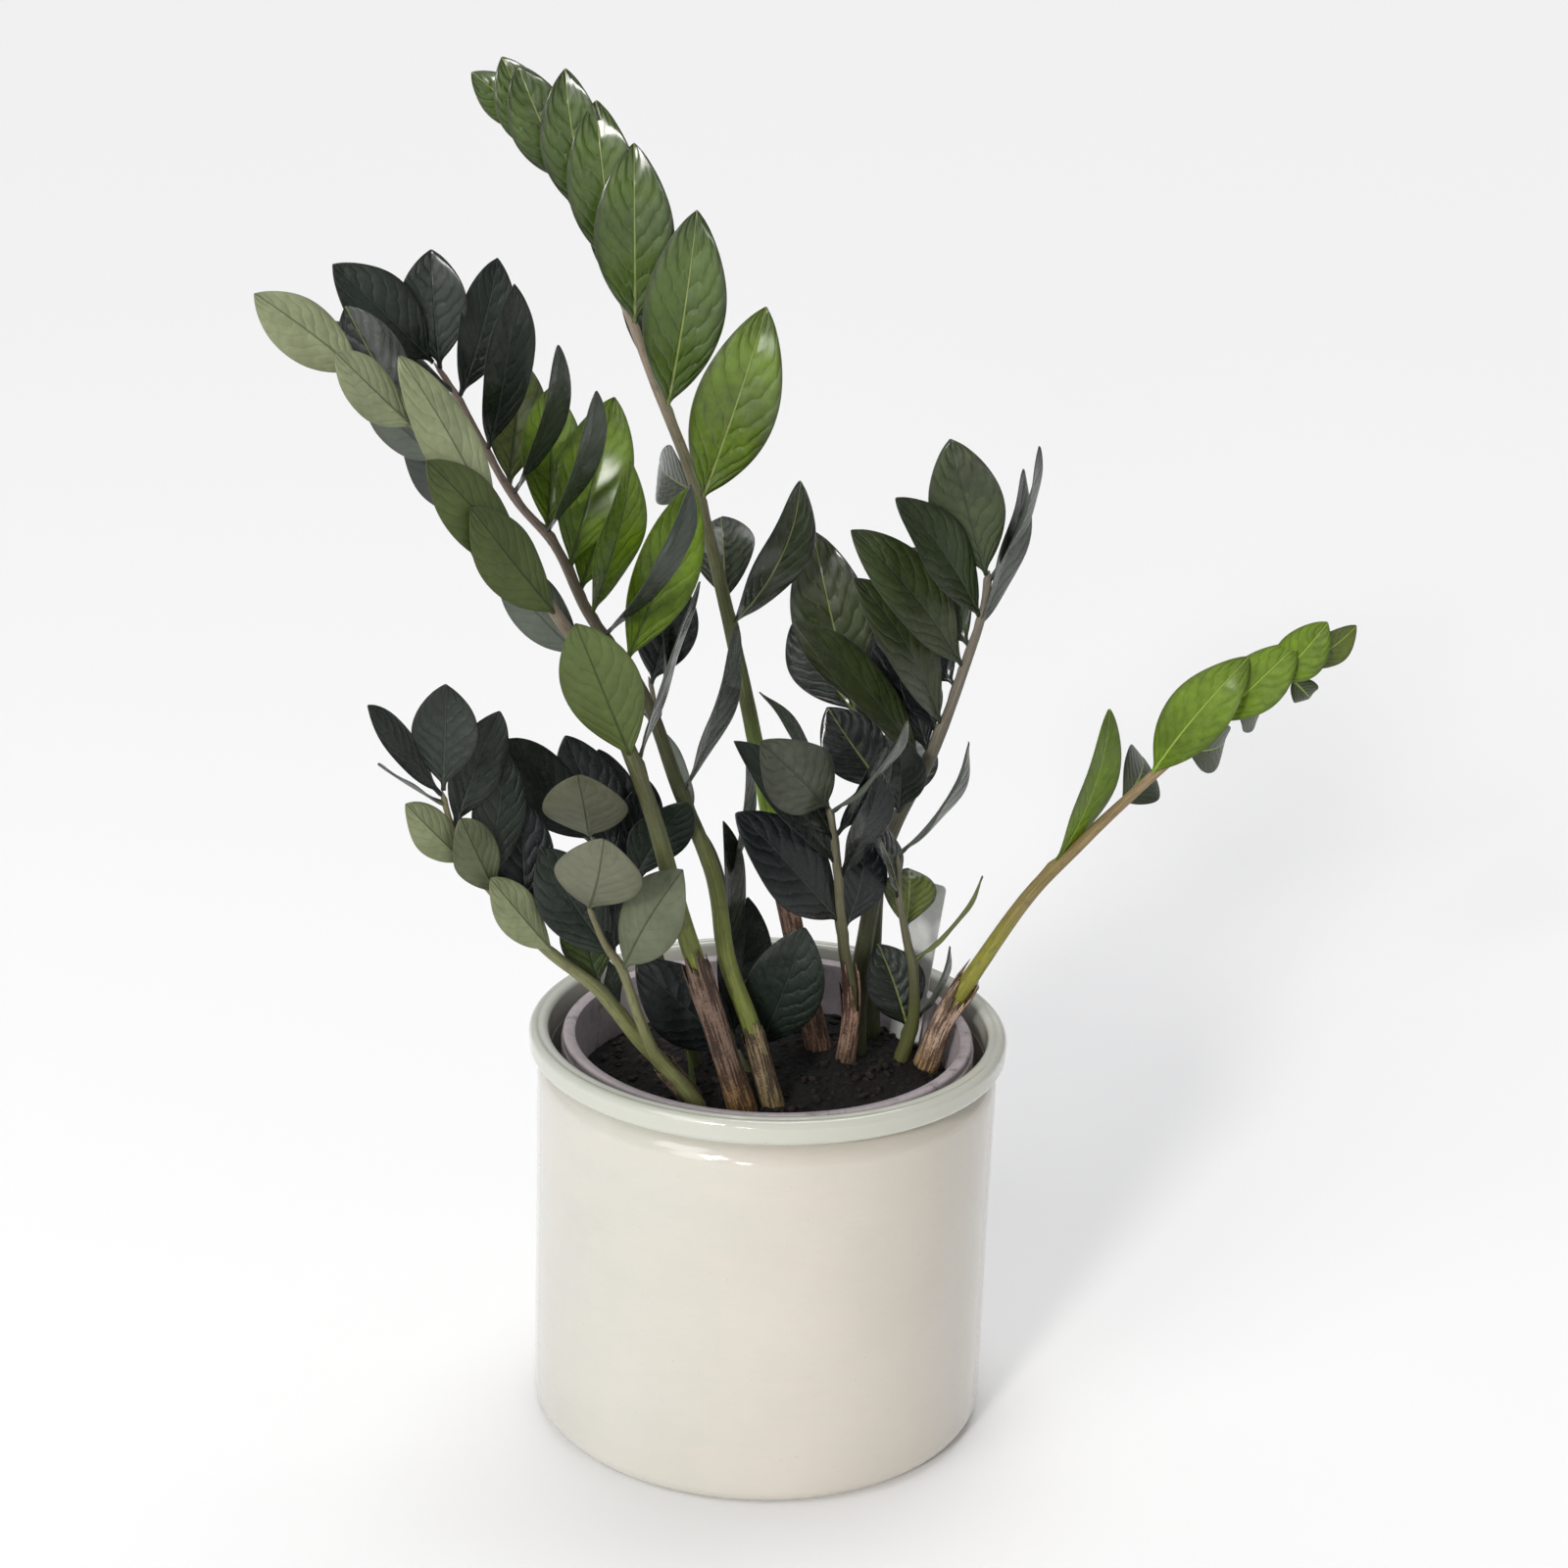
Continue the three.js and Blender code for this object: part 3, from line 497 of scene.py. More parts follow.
def bow_points(
    centre: tuple[float, float], radius: float, start: float, end: float, steps: int
) -> list[tuple[float, float]]:
    """Points on an arc of an outline.

    Args:
        centre: The arc's centre, as a radius and a height.
        radius: The arc's own radius.
        start: Its first angle, in degrees.
        end: Its last angle.
        steps: Steps between the two.

    Returns:
        The points, both ends included.
    """
    points = []
    for step in range(steps + 1):
        angle = math.radians(blend(start, end, step / steps))
        points.append((centre[0] + radius * math.cos(angle), centre[1] + radius * math.sin(angle)))
    return points


class Spine:
    """A smooth line through a route's points, measured along its length, in metres."""

    def __init__(self, route: Sequence[Sequence[float]], samples: int = 24) -> None:
        """Samples a centripetal curve through the points.

        Args:
            route: Points in millimetres.
            samples: Samples between two points.
        """
        points = [Vector(point) * MM for point in route]
        points = [points[0] * 2 - points[1], *points, points[-1] * 2 - points[-2]]
        self.line: list[Vector] = []
        for index in range(1, len(points) - 2):
            stretch = points[index - 1 : index + 3]
            count = samples + (index == len(points) - 3)
            self.line += [self._between(stretch, step / samples) for step in range(count)]
        self.lengths = [0.0]
        for first, second in zip(self.line, self.line[1:]):
            self.lengths.append(self.lengths[-1] + (second - first).length)
        self.length = self.lengths[-1]

    @staticmethod
    def _between(points: Sequence[Vector], share: float) -> Vector:
        """Finds a point between the middle two of four, by a centripetal Catmull-Rom curve.

        Args:
            points: The four points.
            share: 0 at the second point and 1 at the third.

        Returns:
            The point.
        """
        knots = [0.0]
        for first, second in zip(points, points[1:]):
            knots.append(knots[-1] + max(1e-6, (second - first).length ** 0.5))
        knot = blend(knots[1], knots[2], share)

        def cross(first: Vector, second: Vector, low: int, high: int) -> Vector:
            """Mixes two points by where the wanted knot lies between two others."""
            return first.lerp(second, (knot - knots[low]) / (knots[high] - knots[low]))

        a, b, c = (cross(points[i], points[i + 1], i, i + 1) for i in range(3))
        return cross(cross(a, b, 0, 2), cross(b, c, 1, 3), 1, 2)

    def at(self, share: float) -> Vector:
        """Finds the point at a share of the length.

        Args:
            share: 0 at the start of the line and 1 at its end.

        Returns:
            The point, in metres.
        """
        wanted = min(1.0, max(0.0, share)) * self.length
        low, high = 0, len(self.lengths) - 1
        while high - low > 1:
            middle = (low + high) // 2
            if self.lengths[middle] <= wanted:
                low = middle
            else:
                high = middle
        span = self.lengths[high] - self.lengths[low]
        return self.line[low].lerp(self.line[high], (wanted - self.lengths[low]) / span if span else 0.0)

    def heading(self, share: float) -> Vector:
        """The line's direction at a share of the length."""
        return (self.at(share + 0.01) - self.at(share - 0.01)).normalized()

    def frame_at(self, share: float) -> tuple[Vector, Vector, Vector]:
        """The direction there, and two directions across it."""
        along = self.heading(share)
        across = along.cross(Vector((0, -1, 0))).normalized()
        return along, across, across.cross(along)


def bent_tube(
    maker: Maker, spine: Spine, sides: int, rings: int, radius: Callable[[float, float], float],
    start: float = 0.0, end: float = 1.0, capped: bool = True,
) -> tuple[list[bmesh.types.BMVert], list[tuple[float, float]]]:
    """Bends a cylinder along a line.

    Args:
        maker: The bmesh to add it to.
        spine: The line.
        sides: Sides of the tube.
        rings: Rings along it.
        radius: Radius in metres from the share of the length and the angle round the tube.
        start: Where it starts, as a share of the line.
        end: Where it ends.
        capped: Whether its ends are closed.

    Returns:
        Its vertices, and the share of the length and the angle of each.
    """
    known = set(maker.verts)
    made = bmesh.ops.create_cone(
        maker, cap_ends=capped, cap_tris=False, segments=sides, radius1=1, radius2=1, depth=1
    )["verts"]
    upright = {e for v in made for e in v.link_edges if abs(e.verts[0].co.z - e.verts[1].co.z) > 0.5}
    bmesh.ops.subdivide_edges(maker, edges=list(upright), cuts=rings)
    verts = [v for v in maker.verts if v not in known]
    places = []
    for vert in verts:
        share = blend(start, end, vert.co.z + 0.5)
        angle = math.atan2(vert.co.y, vert.co.x)
        _, across, up = spine.frame_at(share)
        size = radius(share, angle)
        vert.co = spine.at(share) + (across * math.cos(angle) + up * math.sin(angle)) * size
        places.append((share, angle))
    return verts, places


def tube_maker() -> tuple[Maker, bmesh.types.BMLayerItem, bmesh.types.BMLayerItem]:
    """A bmesh for tubes, with its layers for a tube's place and its tint."""
    maker = bmesh.new()
    layers = maker.verts.layers
    layers.float_vector.new("stem_place")
    layers.float_color.new("stem_tint")
    return maker, layers.float_vector["stem_place"], layers.float_color["stem_tint"]


# ------------------------------------------------------------------------ making materials
class Sketch:
    """Wires shader nodes in a material or a node group."""

    def __init__(self, tree: Tree) -> None:
        """Works on an emptied node tree."""
        self.tree = tree
        tree.nodes.clear()

    def add(
        self, kind: str, inputs: dict[str | int, object] | None = None, **settings: object
    ) -> bpy.types.Node:
        """Adds a node.

        Args:
            kind: The node's type.
            inputs: Values or output sockets for its inputs.
            settings: The node's own properties.

        Returns:
            The node.
        """
        node = self.tree.nodes.new(kind)
        for name, value in settings.items():
            setattr(node, name, value)
        for name, value in (inputs or {}).items():
            if isinstance(value, Socket):
                self.tree.links.new(value, node.inputs[name])
            else:
                node.inputs[name].default_value = value
        return node

    def math(self, operation: str, first: object, second: object = 0.0) -> Socket:
        """One sum on one or two numbers."""
        return self.add("ShaderNodeMath", {0: first, 1: second}, operation=operation).outputs[0]

    def times(self, first: object, second: object) -> Socket:
        """Multiplies two numbers."""
        return self.math("MULTIPLY", first, second)

    def plus(self, first: object, second: object) -> Socket:
        """Adds two numbers."""
        return self.math("ADD", first, second)

    def minus(self, first: object, second: object) -> Socket:
        """Takes the second number from the first."""
        return self.math("SUBTRACT", first, second)

    def mix(self, share: object, first: object, second: object, blend_type: str = "MIX") -> Socket:
        """Mixes two colours."""
        node = self.add(
            "ShaderNodeMix", {0: share, 6: first, 7: second},
            data_type="RGBA", blend_type=blend_type, clamp_factor=True,
        )
        return node.outputs[2]

    def toned(self, colour: object, share: object, tint: Colour) -> Socket:
        """Multiplies a colour by a tint, by a share."""
        return self.mix(share, colour, self.mix(1.0, colour, tint, "MULTIPLY"))

    def between(self, share: object, low: object, high: object) -> Socket:
        """Mixes two numbers."""
        return self.add("ShaderNodeMix", {0: share, 2: low, 3: high}, data_type="FLOAT").outputs[0]

    def remap(self, value: object, low: float, high: float, to_low: float, to_high: float) -> Socket:
        """Maps a range onto another with soft ends."""
        ends = {0: value, 1: low, 2: high, 3: to_low, 4: to_high}
        return self.add("ShaderNodeMapRange", ends, interpolation_type="SMOOTHSTEP").outputs[0]

    def split(self, vector: object) -> tuple[Socket, ...]:
        """A vector's three numbers."""
        return tuple(self.add("ShaderNodeSeparateXYZ", {0: vector}).outputs)

    def join(self, x: object, y: object, z: object) -> Socket:
        """A vector from three numbers."""
        return self.add("ShaderNodeCombineXYZ", {0: x, 1: y, 2: z}).outputs[0]

    def noise(self, vector: object, scale: object, detail: float = 3.0, grit: float = 0.55) -> Socket:
        """Soft noise of about 0 to 1."""
        inputs = {"Vector": vector, "Scale": scale, "Detail": detail, "Roughness": grit}
        return self.add("ShaderNodeTexNoise", inputs).outputs[0]

    def attribute(self, name: str) -> bpy.types.Node:
        """Reads one of the piece's own attributes."""
        return self.add("ShaderNodeAttribute", attribute_name=name)

    def place(self) -> Socket:
        """Object coordinates, which are the row's frame in metres."""
        return self.add("ShaderNodeTexCoord").outputs["Object"]

    def group(self, tree: Tree, inputs: dict[str, object]) -> bpy.types.Node:
        """Places a shared node group."""
        return self.add("ShaderNodeGroup", inputs, node_tree=tree)

    def bump(self, height: object, depth: float, strength: float = 1.0) -> Socket:
        """A bumped normal from a height of 0 to 1 and a depth in metres."""
        inputs = {"Height": height, "Distance": depth, "Strength": strength}
        return self.add("ShaderNodeBump", inputs).outputs[0]

    def surface(self, inputs: dict[str, object]) -> None:
        """Ends a material in one shader with these inputs."""
        shader = self.add("ShaderNodeBsdfPrincipled", inputs)
        end = self.add("ShaderNodeOutputMaterial")
        self.tree.links.new(shader.outputs[0], end.inputs[0])


def start_material(name: str) -> tuple[Material, Sketch]:
    """Starts a material, and the sketch that wires it."""
    material = bpy.data.materials.new(name)
    material.use_nodes = True
    return material, Sketch(material.node_tree)


def new_group(
    name: str, inputs: dict[str, str], outputs: Iterable[tuple[str, str]]
) -> tuple[Tree, Sketch, dict[str, Socket], bpy.types.Node]:
    """Starts a shader node group.

    Args:
        name: Its name.
        inputs: Socket kinds by name.
        outputs: Names and socket kinds.

    Returns:
        The group, its sketch, its inputs inside it, and its output node.
    """
    tree = bpy.data.node_groups.new(name, "ShaderNodeTree")
    sketch = Sketch(tree)
    for label, kind in inputs.items():
        tree.interface.new_socket(label, in_out="INPUT", socket_type=kind)
    for label, kind in outputs:
        tree.interface.new_socket(label, in_out="OUTPUT", socket_type=kind)
    entry = tree.nodes.new("NodeGroupInput")
    leave = tree.nodes.new("NodeGroupOutput")
    return tree, sketch, {label: entry.outputs[label] for label in inputs}, leave


class Effects:
    """Shader node groups that several finishes share."""

    def __init__(self) -> None:
        """Builds each group once."""
        self.mottle = self._mottle()
        self.streaks = self._streaks()
        self.veins = self._veins()

    def cloud(self, sketch: Sketch, place: object, scale: float, grain: float) -> Socket:
        """Cloudy variation at a place, for one finish."""
        return sketch.group(self.mottle, {"Vector": place, "Scale": scale, "Grain": grain}).outputs[0]

    def fibres(self, sketch: Sketch, fineness: float) -> tuple[Socket, Socket]:
        """Fibres and blotches along a stem, a sheath or a root, for one finish."""
        along, around, _ = sketch.split(sketch.attribute("stem_place").outputs["Vector"])
        drawn = sketch.group(self.streaks, {"Along": along, "Around": around, "Fineness": fineness})
        return drawn.outputs[0], drawn.outputs[1]

    @staticmethod
    def _mottle() -> Tree:
        """Cloudy variation of 0 to 1 around a half, with fine grain in it."""
        tree, sketch, given, leave = new_group(
            "mottle",
            {"Vector": "NodeSocketVector", "Scale": "NodeSocketFloat", "Grain": "NodeSocketFloat"},
            [("Value", "NodeSocketFloat")],
        )
        broad = sketch.noise(given["Vector"], given["Scale"], 3.0)
        fine = sketch.noise(given["Vector"], sketch.times(given["Scale"], 9.0), 2.0, 0.6)
        both = sketch.between(given["Grain"], broad, fine)
        tree.links.new(sketch.remap(both, 0.28, 0.72, 0.0, 1.0), leave.inputs[0])
        return tree

    @staticmethod
    def _streaks() -> Tree:
        """Fibres that run along a piece, from its distance along and its angle around."""
        tree, sketch, given, leave = new_group(
            "streaks",
            {"Along": "NodeSocketFloat", "Around": "NodeSocketFloat", "Fineness": "NodeSocketFloat"},
            [("Value", "NodeSocketFloat"), ("Blotch", "NodeSocketFloat")],
        )
        turn = sketch.times(given["Around"], given["Fineness"])
        drawn = sketch.join(sketch.times(given["Along"], 40.0), turn, 0.0)
        tree.links.new(sketch.remap(sketch.noise(drawn, 1.0, 3.0, 0.6), 0.3, 0.7, 0.0, 1.0), leave.inputs[0])
        spots = sketch.join(
            sketch.times(given["Along"], 160.0), sketch.times(given["Around"], 1.1), 3.0
        )
        tree.links.new(sketch.remap(sketch.noise(spots, 1.0, 2.0), 0.52, 0.68, 0.0, 1.0), leave.inputs[1])
        return tree

    @staticmethod
    def _veins() -> Tree:
        """A leaflet's midrib, side veins and the cushions between them.

        The place is the share along the blade, the share across it from -1 to 1, and the distance
        from the midrib in metres.
        """
        tree, sketch, given, leave = new_group(
            "leaf_veins",
            {"Place": "NodeSocketVector", "Count": "NodeSocketFloat", "Seed": "NodeSocketFloat"},
            [("Midrib", "NodeSocketFloat"), ("Laterals", "NodeSocketFloat"), ("Cushion", "NodeSocketFloat")],
        )
        along, across, offset = sketch.split(given["Place"])
        side = sketch.math("ABSOLUTE", across)
        distance = sketch.math("ABSOLUTE", offset)
        width = sketch.between(along, 0.00075, 0.00025)
        rib = sketch.math("DIVIDE", distance, width)
        tree.links.new(sketch.remap(rib, 0.5, 1.25, 1.0, 0.0), leave.inputs[0])
        curve = sketch.times(sketch.math("POWER", side, 2.0), 0.9)
        sweep = sketch.plus(sketch.times(side, 1.5), curve)
        drift = sketch.join(sketch.times(along, 3.0), sketch.times(across, 1.6), given["Seed"])
        wobble = sketch.noise(drift, 1.6, 2.0)
        row = sketch.minus(sketch.times(along, given["Count"]), sweep)
        row = sketch.plus(row, sketch.times(wobble, 1.1))
        row = sketch.plus(row, sketch.times(sketch.math("GREATER_THAN", across, 0.0), 0.45))
        wave = sketch.math("ABSOLUTE", sketch.minus(sketch.math("FRACT", row), 0.5))
        line = sketch.remap(wave, 0.43, 0.495, 0.0, 1.0)
        fade = sketch.remap(side, 0.55, 0.98, 1.0, 0.0)
        tree.links.new(sketch.times(line, fade), leave.inputs[1])
        dome = sketch.minus(1.0, sketch.math("POWER", sketch.times(wave, 2.0), 2.4))
        tree.links.new(sketch.times(dome, sketch.remap(side, 0.7, 1.0, 1.0, 0.3)), leave.inputs[2])
        return tree


@dataclass(frozen=True)
class LeafFinish:
    """Waxy leaf skin: glossy and quilted above, with a painted sheen on the quilted domes, and matte below."""

    name: str
    gloss: float
    quilt: float
    coat: float
    index: float
    rib: Colour
    rim_tint: Colour
    vein_count: float = 8.0

    def build(self, effects: Effects) -> Material:
        """Builds the material from the leaf's own attributes.

        Args:
            effects: The shared node groups.

        Returns:
            The material.
        """
        material, sketch = start_material(self.name)
        place = sketch.attribute("leaf_place").outputs["Vector"]
        upper = sketch.attribute("leaf_upper").outputs["Color"]
        under = sketch.attribute("leaf_under").outputs["Color"]
        side, seed, dust = sketch.split(sketch.attribute("leaf_traits").outputs["Vector"])
        along, across, _ = sketch.split(place)
        veins = sketch.group(effects.veins, {"Place": place, "Count": self.vein_count, "Seed": seed})
        midrib, laterals, cushion = veins.outputs
        ground = sketch.place()
        cloud = effects.cloud(sketch, ground, 32.0, 0.3)
        speck = effects.cloud(sketch, ground, 420.0, 0.6)
        margin = sketch.remap(sketch.math("ABSOLUTE", across), 0.72, 1.0, 0.0, 1.0)
        tip = sketch.remap(along, 0.78, 1.0, 0.0, 1.0)
        rim = sketch.math("MAXIMUM", sketch.times(margin, 0.7), sketch.times(tip, 0.5))

        glossy = sketch.toned(upper, sketch.minus(1.0, cloud), shade(176, 176, 170))
        # Painted sheen: the glossy face is lightened on the quilted domes between the side veins.
        glossy = sketch.toned(glossy, sketch.times(cushion, 0.4), (1.3, 1.3, 1.1, 1))
        glossy = sketch.toned(glossy, rim, self.rim_tint)
        glossy = sketch.mix(sketch.times(laterals, 0.1), glossy, self.rib)
        glossy = sketch.mix(sketch.times(midrib, 0.55), glossy, self.rib)
        powder = sketch.times(dust, sketch.times(cloud, speck))
        glossy = sketch.mix(powder, glossy, shade(126, 130, 118))

        matte = sketch.toned(under, sketch.minus(1.0, cloud), shade(208, 208, 200))
        matte = sketch.toned(matte, sketch.times(laterals, 0.22), shade(186, 188, 176))
        # Painted shade: the matte underside is darkened along the midrib.
        matte = sketch.toned(matte, sketch.times(midrib, 0.7), shade(150, 156, 132))
        matte = sketch.toned(matte, sketch.times(rim, 0.4), shade(180, 176, 160))

        worn = sketch.plus(sketch.times(speck, 0.05), sketch.times(cloud, 0.08))
        smooth = sketch.plus(sketch.plus(worn, self.gloss), sketch.times(dust, 0.3))
        rough = sketch.between(side, sketch.plus(worn, 0.48), smooth)
        relief = sketch.plus(sketch.times(cushion, self.quilt), sketch.times(speck, 0.07))
        relief = sketch.minus(relief, sketch.times(midrib, 0.35))
        relief = sketch.times(relief, sketch.between(side, 0.35, 1.0))
        sketch.surface({
            "Base Color": sketch.mix(side, matte, glossy), "Roughness": rough, "IOR": self.index,
            "Coat Weight": sketch.times(side, self.coat), "Coat Roughness": 0.14,
            "Normal": sketch.bump(relief, 0.0014),
        })
        return material


@dataclass(frozen=True)
class StemFinish:
    """Fleshy leaf stalk: streaked, blotched and softly glossy."""

    name: str = "stem_skin"
    roughness: float = 0.42
    fineness: float = 4.0
    blotch: Colour = shade(92, 84, 66)

    def build(self, effects: Effects) -> Material:
        """Builds the material from the stem's own attributes.

        Args:
            effects: The shared node groups.

        Returns:
            The material.
        """
        material, sketch = start_material(self.name)
        tint = sketch.attribute("stem_tint").outputs["Color"]
        lines, spots = effects.fibres(sketch, self.fineness)
        cloud = effects.cloud(sketch, sketch.place(), 90.0, 0.5)
        colour = sketch.mix(lines, sketch.mix(1.0, tint, shade(206, 204, 196), "MULTIPLY"), tint)
        colour = sketch.mix(sketch.times(spots, 0.45), colour, self.blotch)
        colour = sketch.toned(colour, sketch.times(cloud, 0.3), shade(190, 184, 178))
        height = sketch.plus(lines, sketch.times(cloud, 0.6))
        sketch.surface({
            "Base Color": colour, "Normal": sketch.bump(height, 0.0003, 0.7), "IOR": 1.45,
            "Roughness": sketch.plus(sketch.times(cloud, 0.15), self.roughness),
        })
        return material


@dataclass(frozen=True)
class FibreFinish:
    """Dry fibrous skin, for the papery sheaths and the fine roots."""

    name: str
    dark: Colour
    light: Colour
    fineness: float

    def build(self, effects: Effects) -> Material:
        """Builds the material from the piece's own attributes.

        Args:
            effects: The shared node groups.

        Returns:
            The material.
        """
        material, sketch = start_material(self.name)
        lines, spots = effects.fibres(sketch, self.fineness)
        cloud = effects.cloud(sketch, sketch.place(), 140.0, 0.5)
        worn = sketch.remap(sketch.between(0.4, lines, cloud), 0.34, 0.66, 0.0, 1.0)
        colour = sketch.mix(worn, self.dark, self.light)
        colour = sketch.mix(sketch.times(spots, 0.6), colour, self.dark)
        colour = sketch.mix(1.0, colour, sketch.attribute("stem_tint").outputs["Color"], "MULTIPLY")
        height = sketch.plus(lines, cloud)
        sketch.surface({
            "Base Color": colour, "Normal": sketch.bump(height, 0.0006, 0.9),
            "Roughness": sketch.plus(sketch.times(cloud, 0.15), 0.72),
        })
        return material


@dataclass(frozen=True)
class GlazeFinish:
    """Glossy pale glaze with faint clouds and turning marks, over a stoneware body."""

    name: str = "glaze"
    cool: Colour = shade(187, 187, 179)
    warm: Colour = shade(194, 188, 176)
    rim: Colour = shade(183, 186, 175)

    def build(self, effects: Effects) -> Material:
        """Builds the material in the row's frame.

        Args:
            effects: The shared node groups.

        Returns:
            The material.
        """
        material, sketch = start_material(self.name)
        place = sketch.place()
        x, y, z = sketch.split(place)
        flat = sketch.join(x, y, sketch.times(z, 6.0))
        cloud = effects.cloud(sketch, place, 9.0, 0.15)
        bands = effects.cloud(sketch, flat, 14.0, 0.4)
        pits = sketch.noise(place, 900.0, 2.0)
        colour = sketch.mix(sketch.remap(x, -0.1, 0.06, 0.0, 1.0), self.cool, self.warm)
        milky = sketch.mix(0.5, colour, shade(222, 214, 208))
        colour = sketch.mix(sketch.times(cloud, 0.5), colour, milky)
        sandy = sketch.mix(0.6, colour, shade(208, 198, 182))
        colour = sketch.mix(sketch.times(bands, 0.35), colour, sandy)
        colour = sketch.mix(sketch.remap(z, 0.172, 0.18, 0.0, 0.75), colour, self.rim)
        colour = sketch.mix(sketch.remap(pits, 0.71, 0.76, 0.0, 0.5), colour, shade(150, 140, 124))
        relief = sketch.plus(sketch.times(bands, 0.7), sketch.times(cloud, 0.5))
        sketch.surface({
            "Base Color": colour, "Normal": sketch.bump(relief, 0.0004, 0.35), "IOR": 1.5,
            "Roughness": sketch.plus(sketch.times(bands, 0.05), 0.1),
            "Coat Weight": 0.5, "Coat Roughness": 0.04,
        })
        return material


@dataclass(frozen=True)
class SpeckledFinish:
    """A plain material with soft clouds, fine grain and a little relief."""

    name: str
    dark: Colour
    light: Colour
    scale: float
    grain: float
    roughness: float
    relief: float
    soil_marks: float = 0.0

    def build(self, effects: Effects) -> Material:
        """Builds the material in the row's frame.

        Args:
            effects: The shared node groups.

        Returns:
            The material.
        """
        material, sketch = start_material(self.name)
        place = sketch.place()
        cloud = effects.cloud(sketch, place, self.scale, self.grain)
        fine = sketch.noise(place, self.scale * 22.0, 3.0, 0.65)
        colour = sketch.mix(cloud, self.dark, self.light)
        if self.soil_marks:
            smears = sketch.remap(sketch.noise(place, 75.0, 4.0, 0.7), 0.54, 0.7, 0.0, 1.0)
            colour = sketch.mix(sketch.times(smears, self.soil_marks), colour, shade(58, 48, 42))
        sketch.surface({
            "Base Color": colour,
            "Normal": sketch.bump(sketch.plus(cloud, fine), self.relief, 0.8),
            "Roughness": sketch.plus(sketch.times(fine, 0.2), self.roughness),
        })
        return material


@dataclass(frozen=True)
class Finishes:
    """Every material of the plant, by what it is put on."""

    leaves: dict[str, Material]
    stem: Material
    sheath: Material
    root: Material
    glaze: Material
    grower: Material
    peat: Material
    crumb: Material
    label: Material

    @staticmethod
    def build() -> "Finishes":
        """Builds the shared effects and every finish."""
        effects = Effects()
        leaves = (
            LeafFinish("leaf_bright", 0.3, 0.3, 0.05, 1.38, shade(164, 190, 84), shade(190, 186, 150)),
            LeafFinish("leaf_green", 0.13, 0.6, 0.5, 1.42, shade(158, 172, 96), shade(150, 128, 122)),
            LeafFinish("leaf_dark", 0.2, 0.3, 0.25, 1.36, shade(56, 64, 54), shade(196, 196, 196)),
        )
        sheath = FibreFinish("papery_sheath", shade(128, 114, 106), shade(246, 238, 230), 3.5)
        root = FibreFinish("pale_root", shade(190, 180, 170), shade(250, 246, 240), 5.0)
        grower = SpeckledFinish(
            "grower_plastic", shade(158, 148, 152), shade(176, 166, 170), 40.0, 0.5, 0.42, 0.0002, 0.55
        )
        peat = SpeckledFinish("peat", shade(6, 5, 4), shade(26, 19, 16), 150.0, 0.6, 0.86, 0.003)
        crumb = SpeckledFinish("peat_crumb", shade(8, 6, 5), shade(46, 34, 27), 60.0, 0.2, 0.85, 0.0008)
        label = SpeckledFinish(
            "label_plastic", shade(206, 208, 206), shade(222, 224, 222), 30.0, 0.5, 0.35, 0.0001
        )
        return Finishes(
            leaves={finish.name: finish.build(effects) for finish in leaves},
            stem=StemFinish().build(effects),
            sheath=sheath.build(effects),
            root=root.build(effects),
            glaze=GlazeFinish().build(effects),
            grower=grower.build(effects),
            peat=peat.build(effects),
            crumb=crumb.build(effects),
            label=label.build(effects),
        )


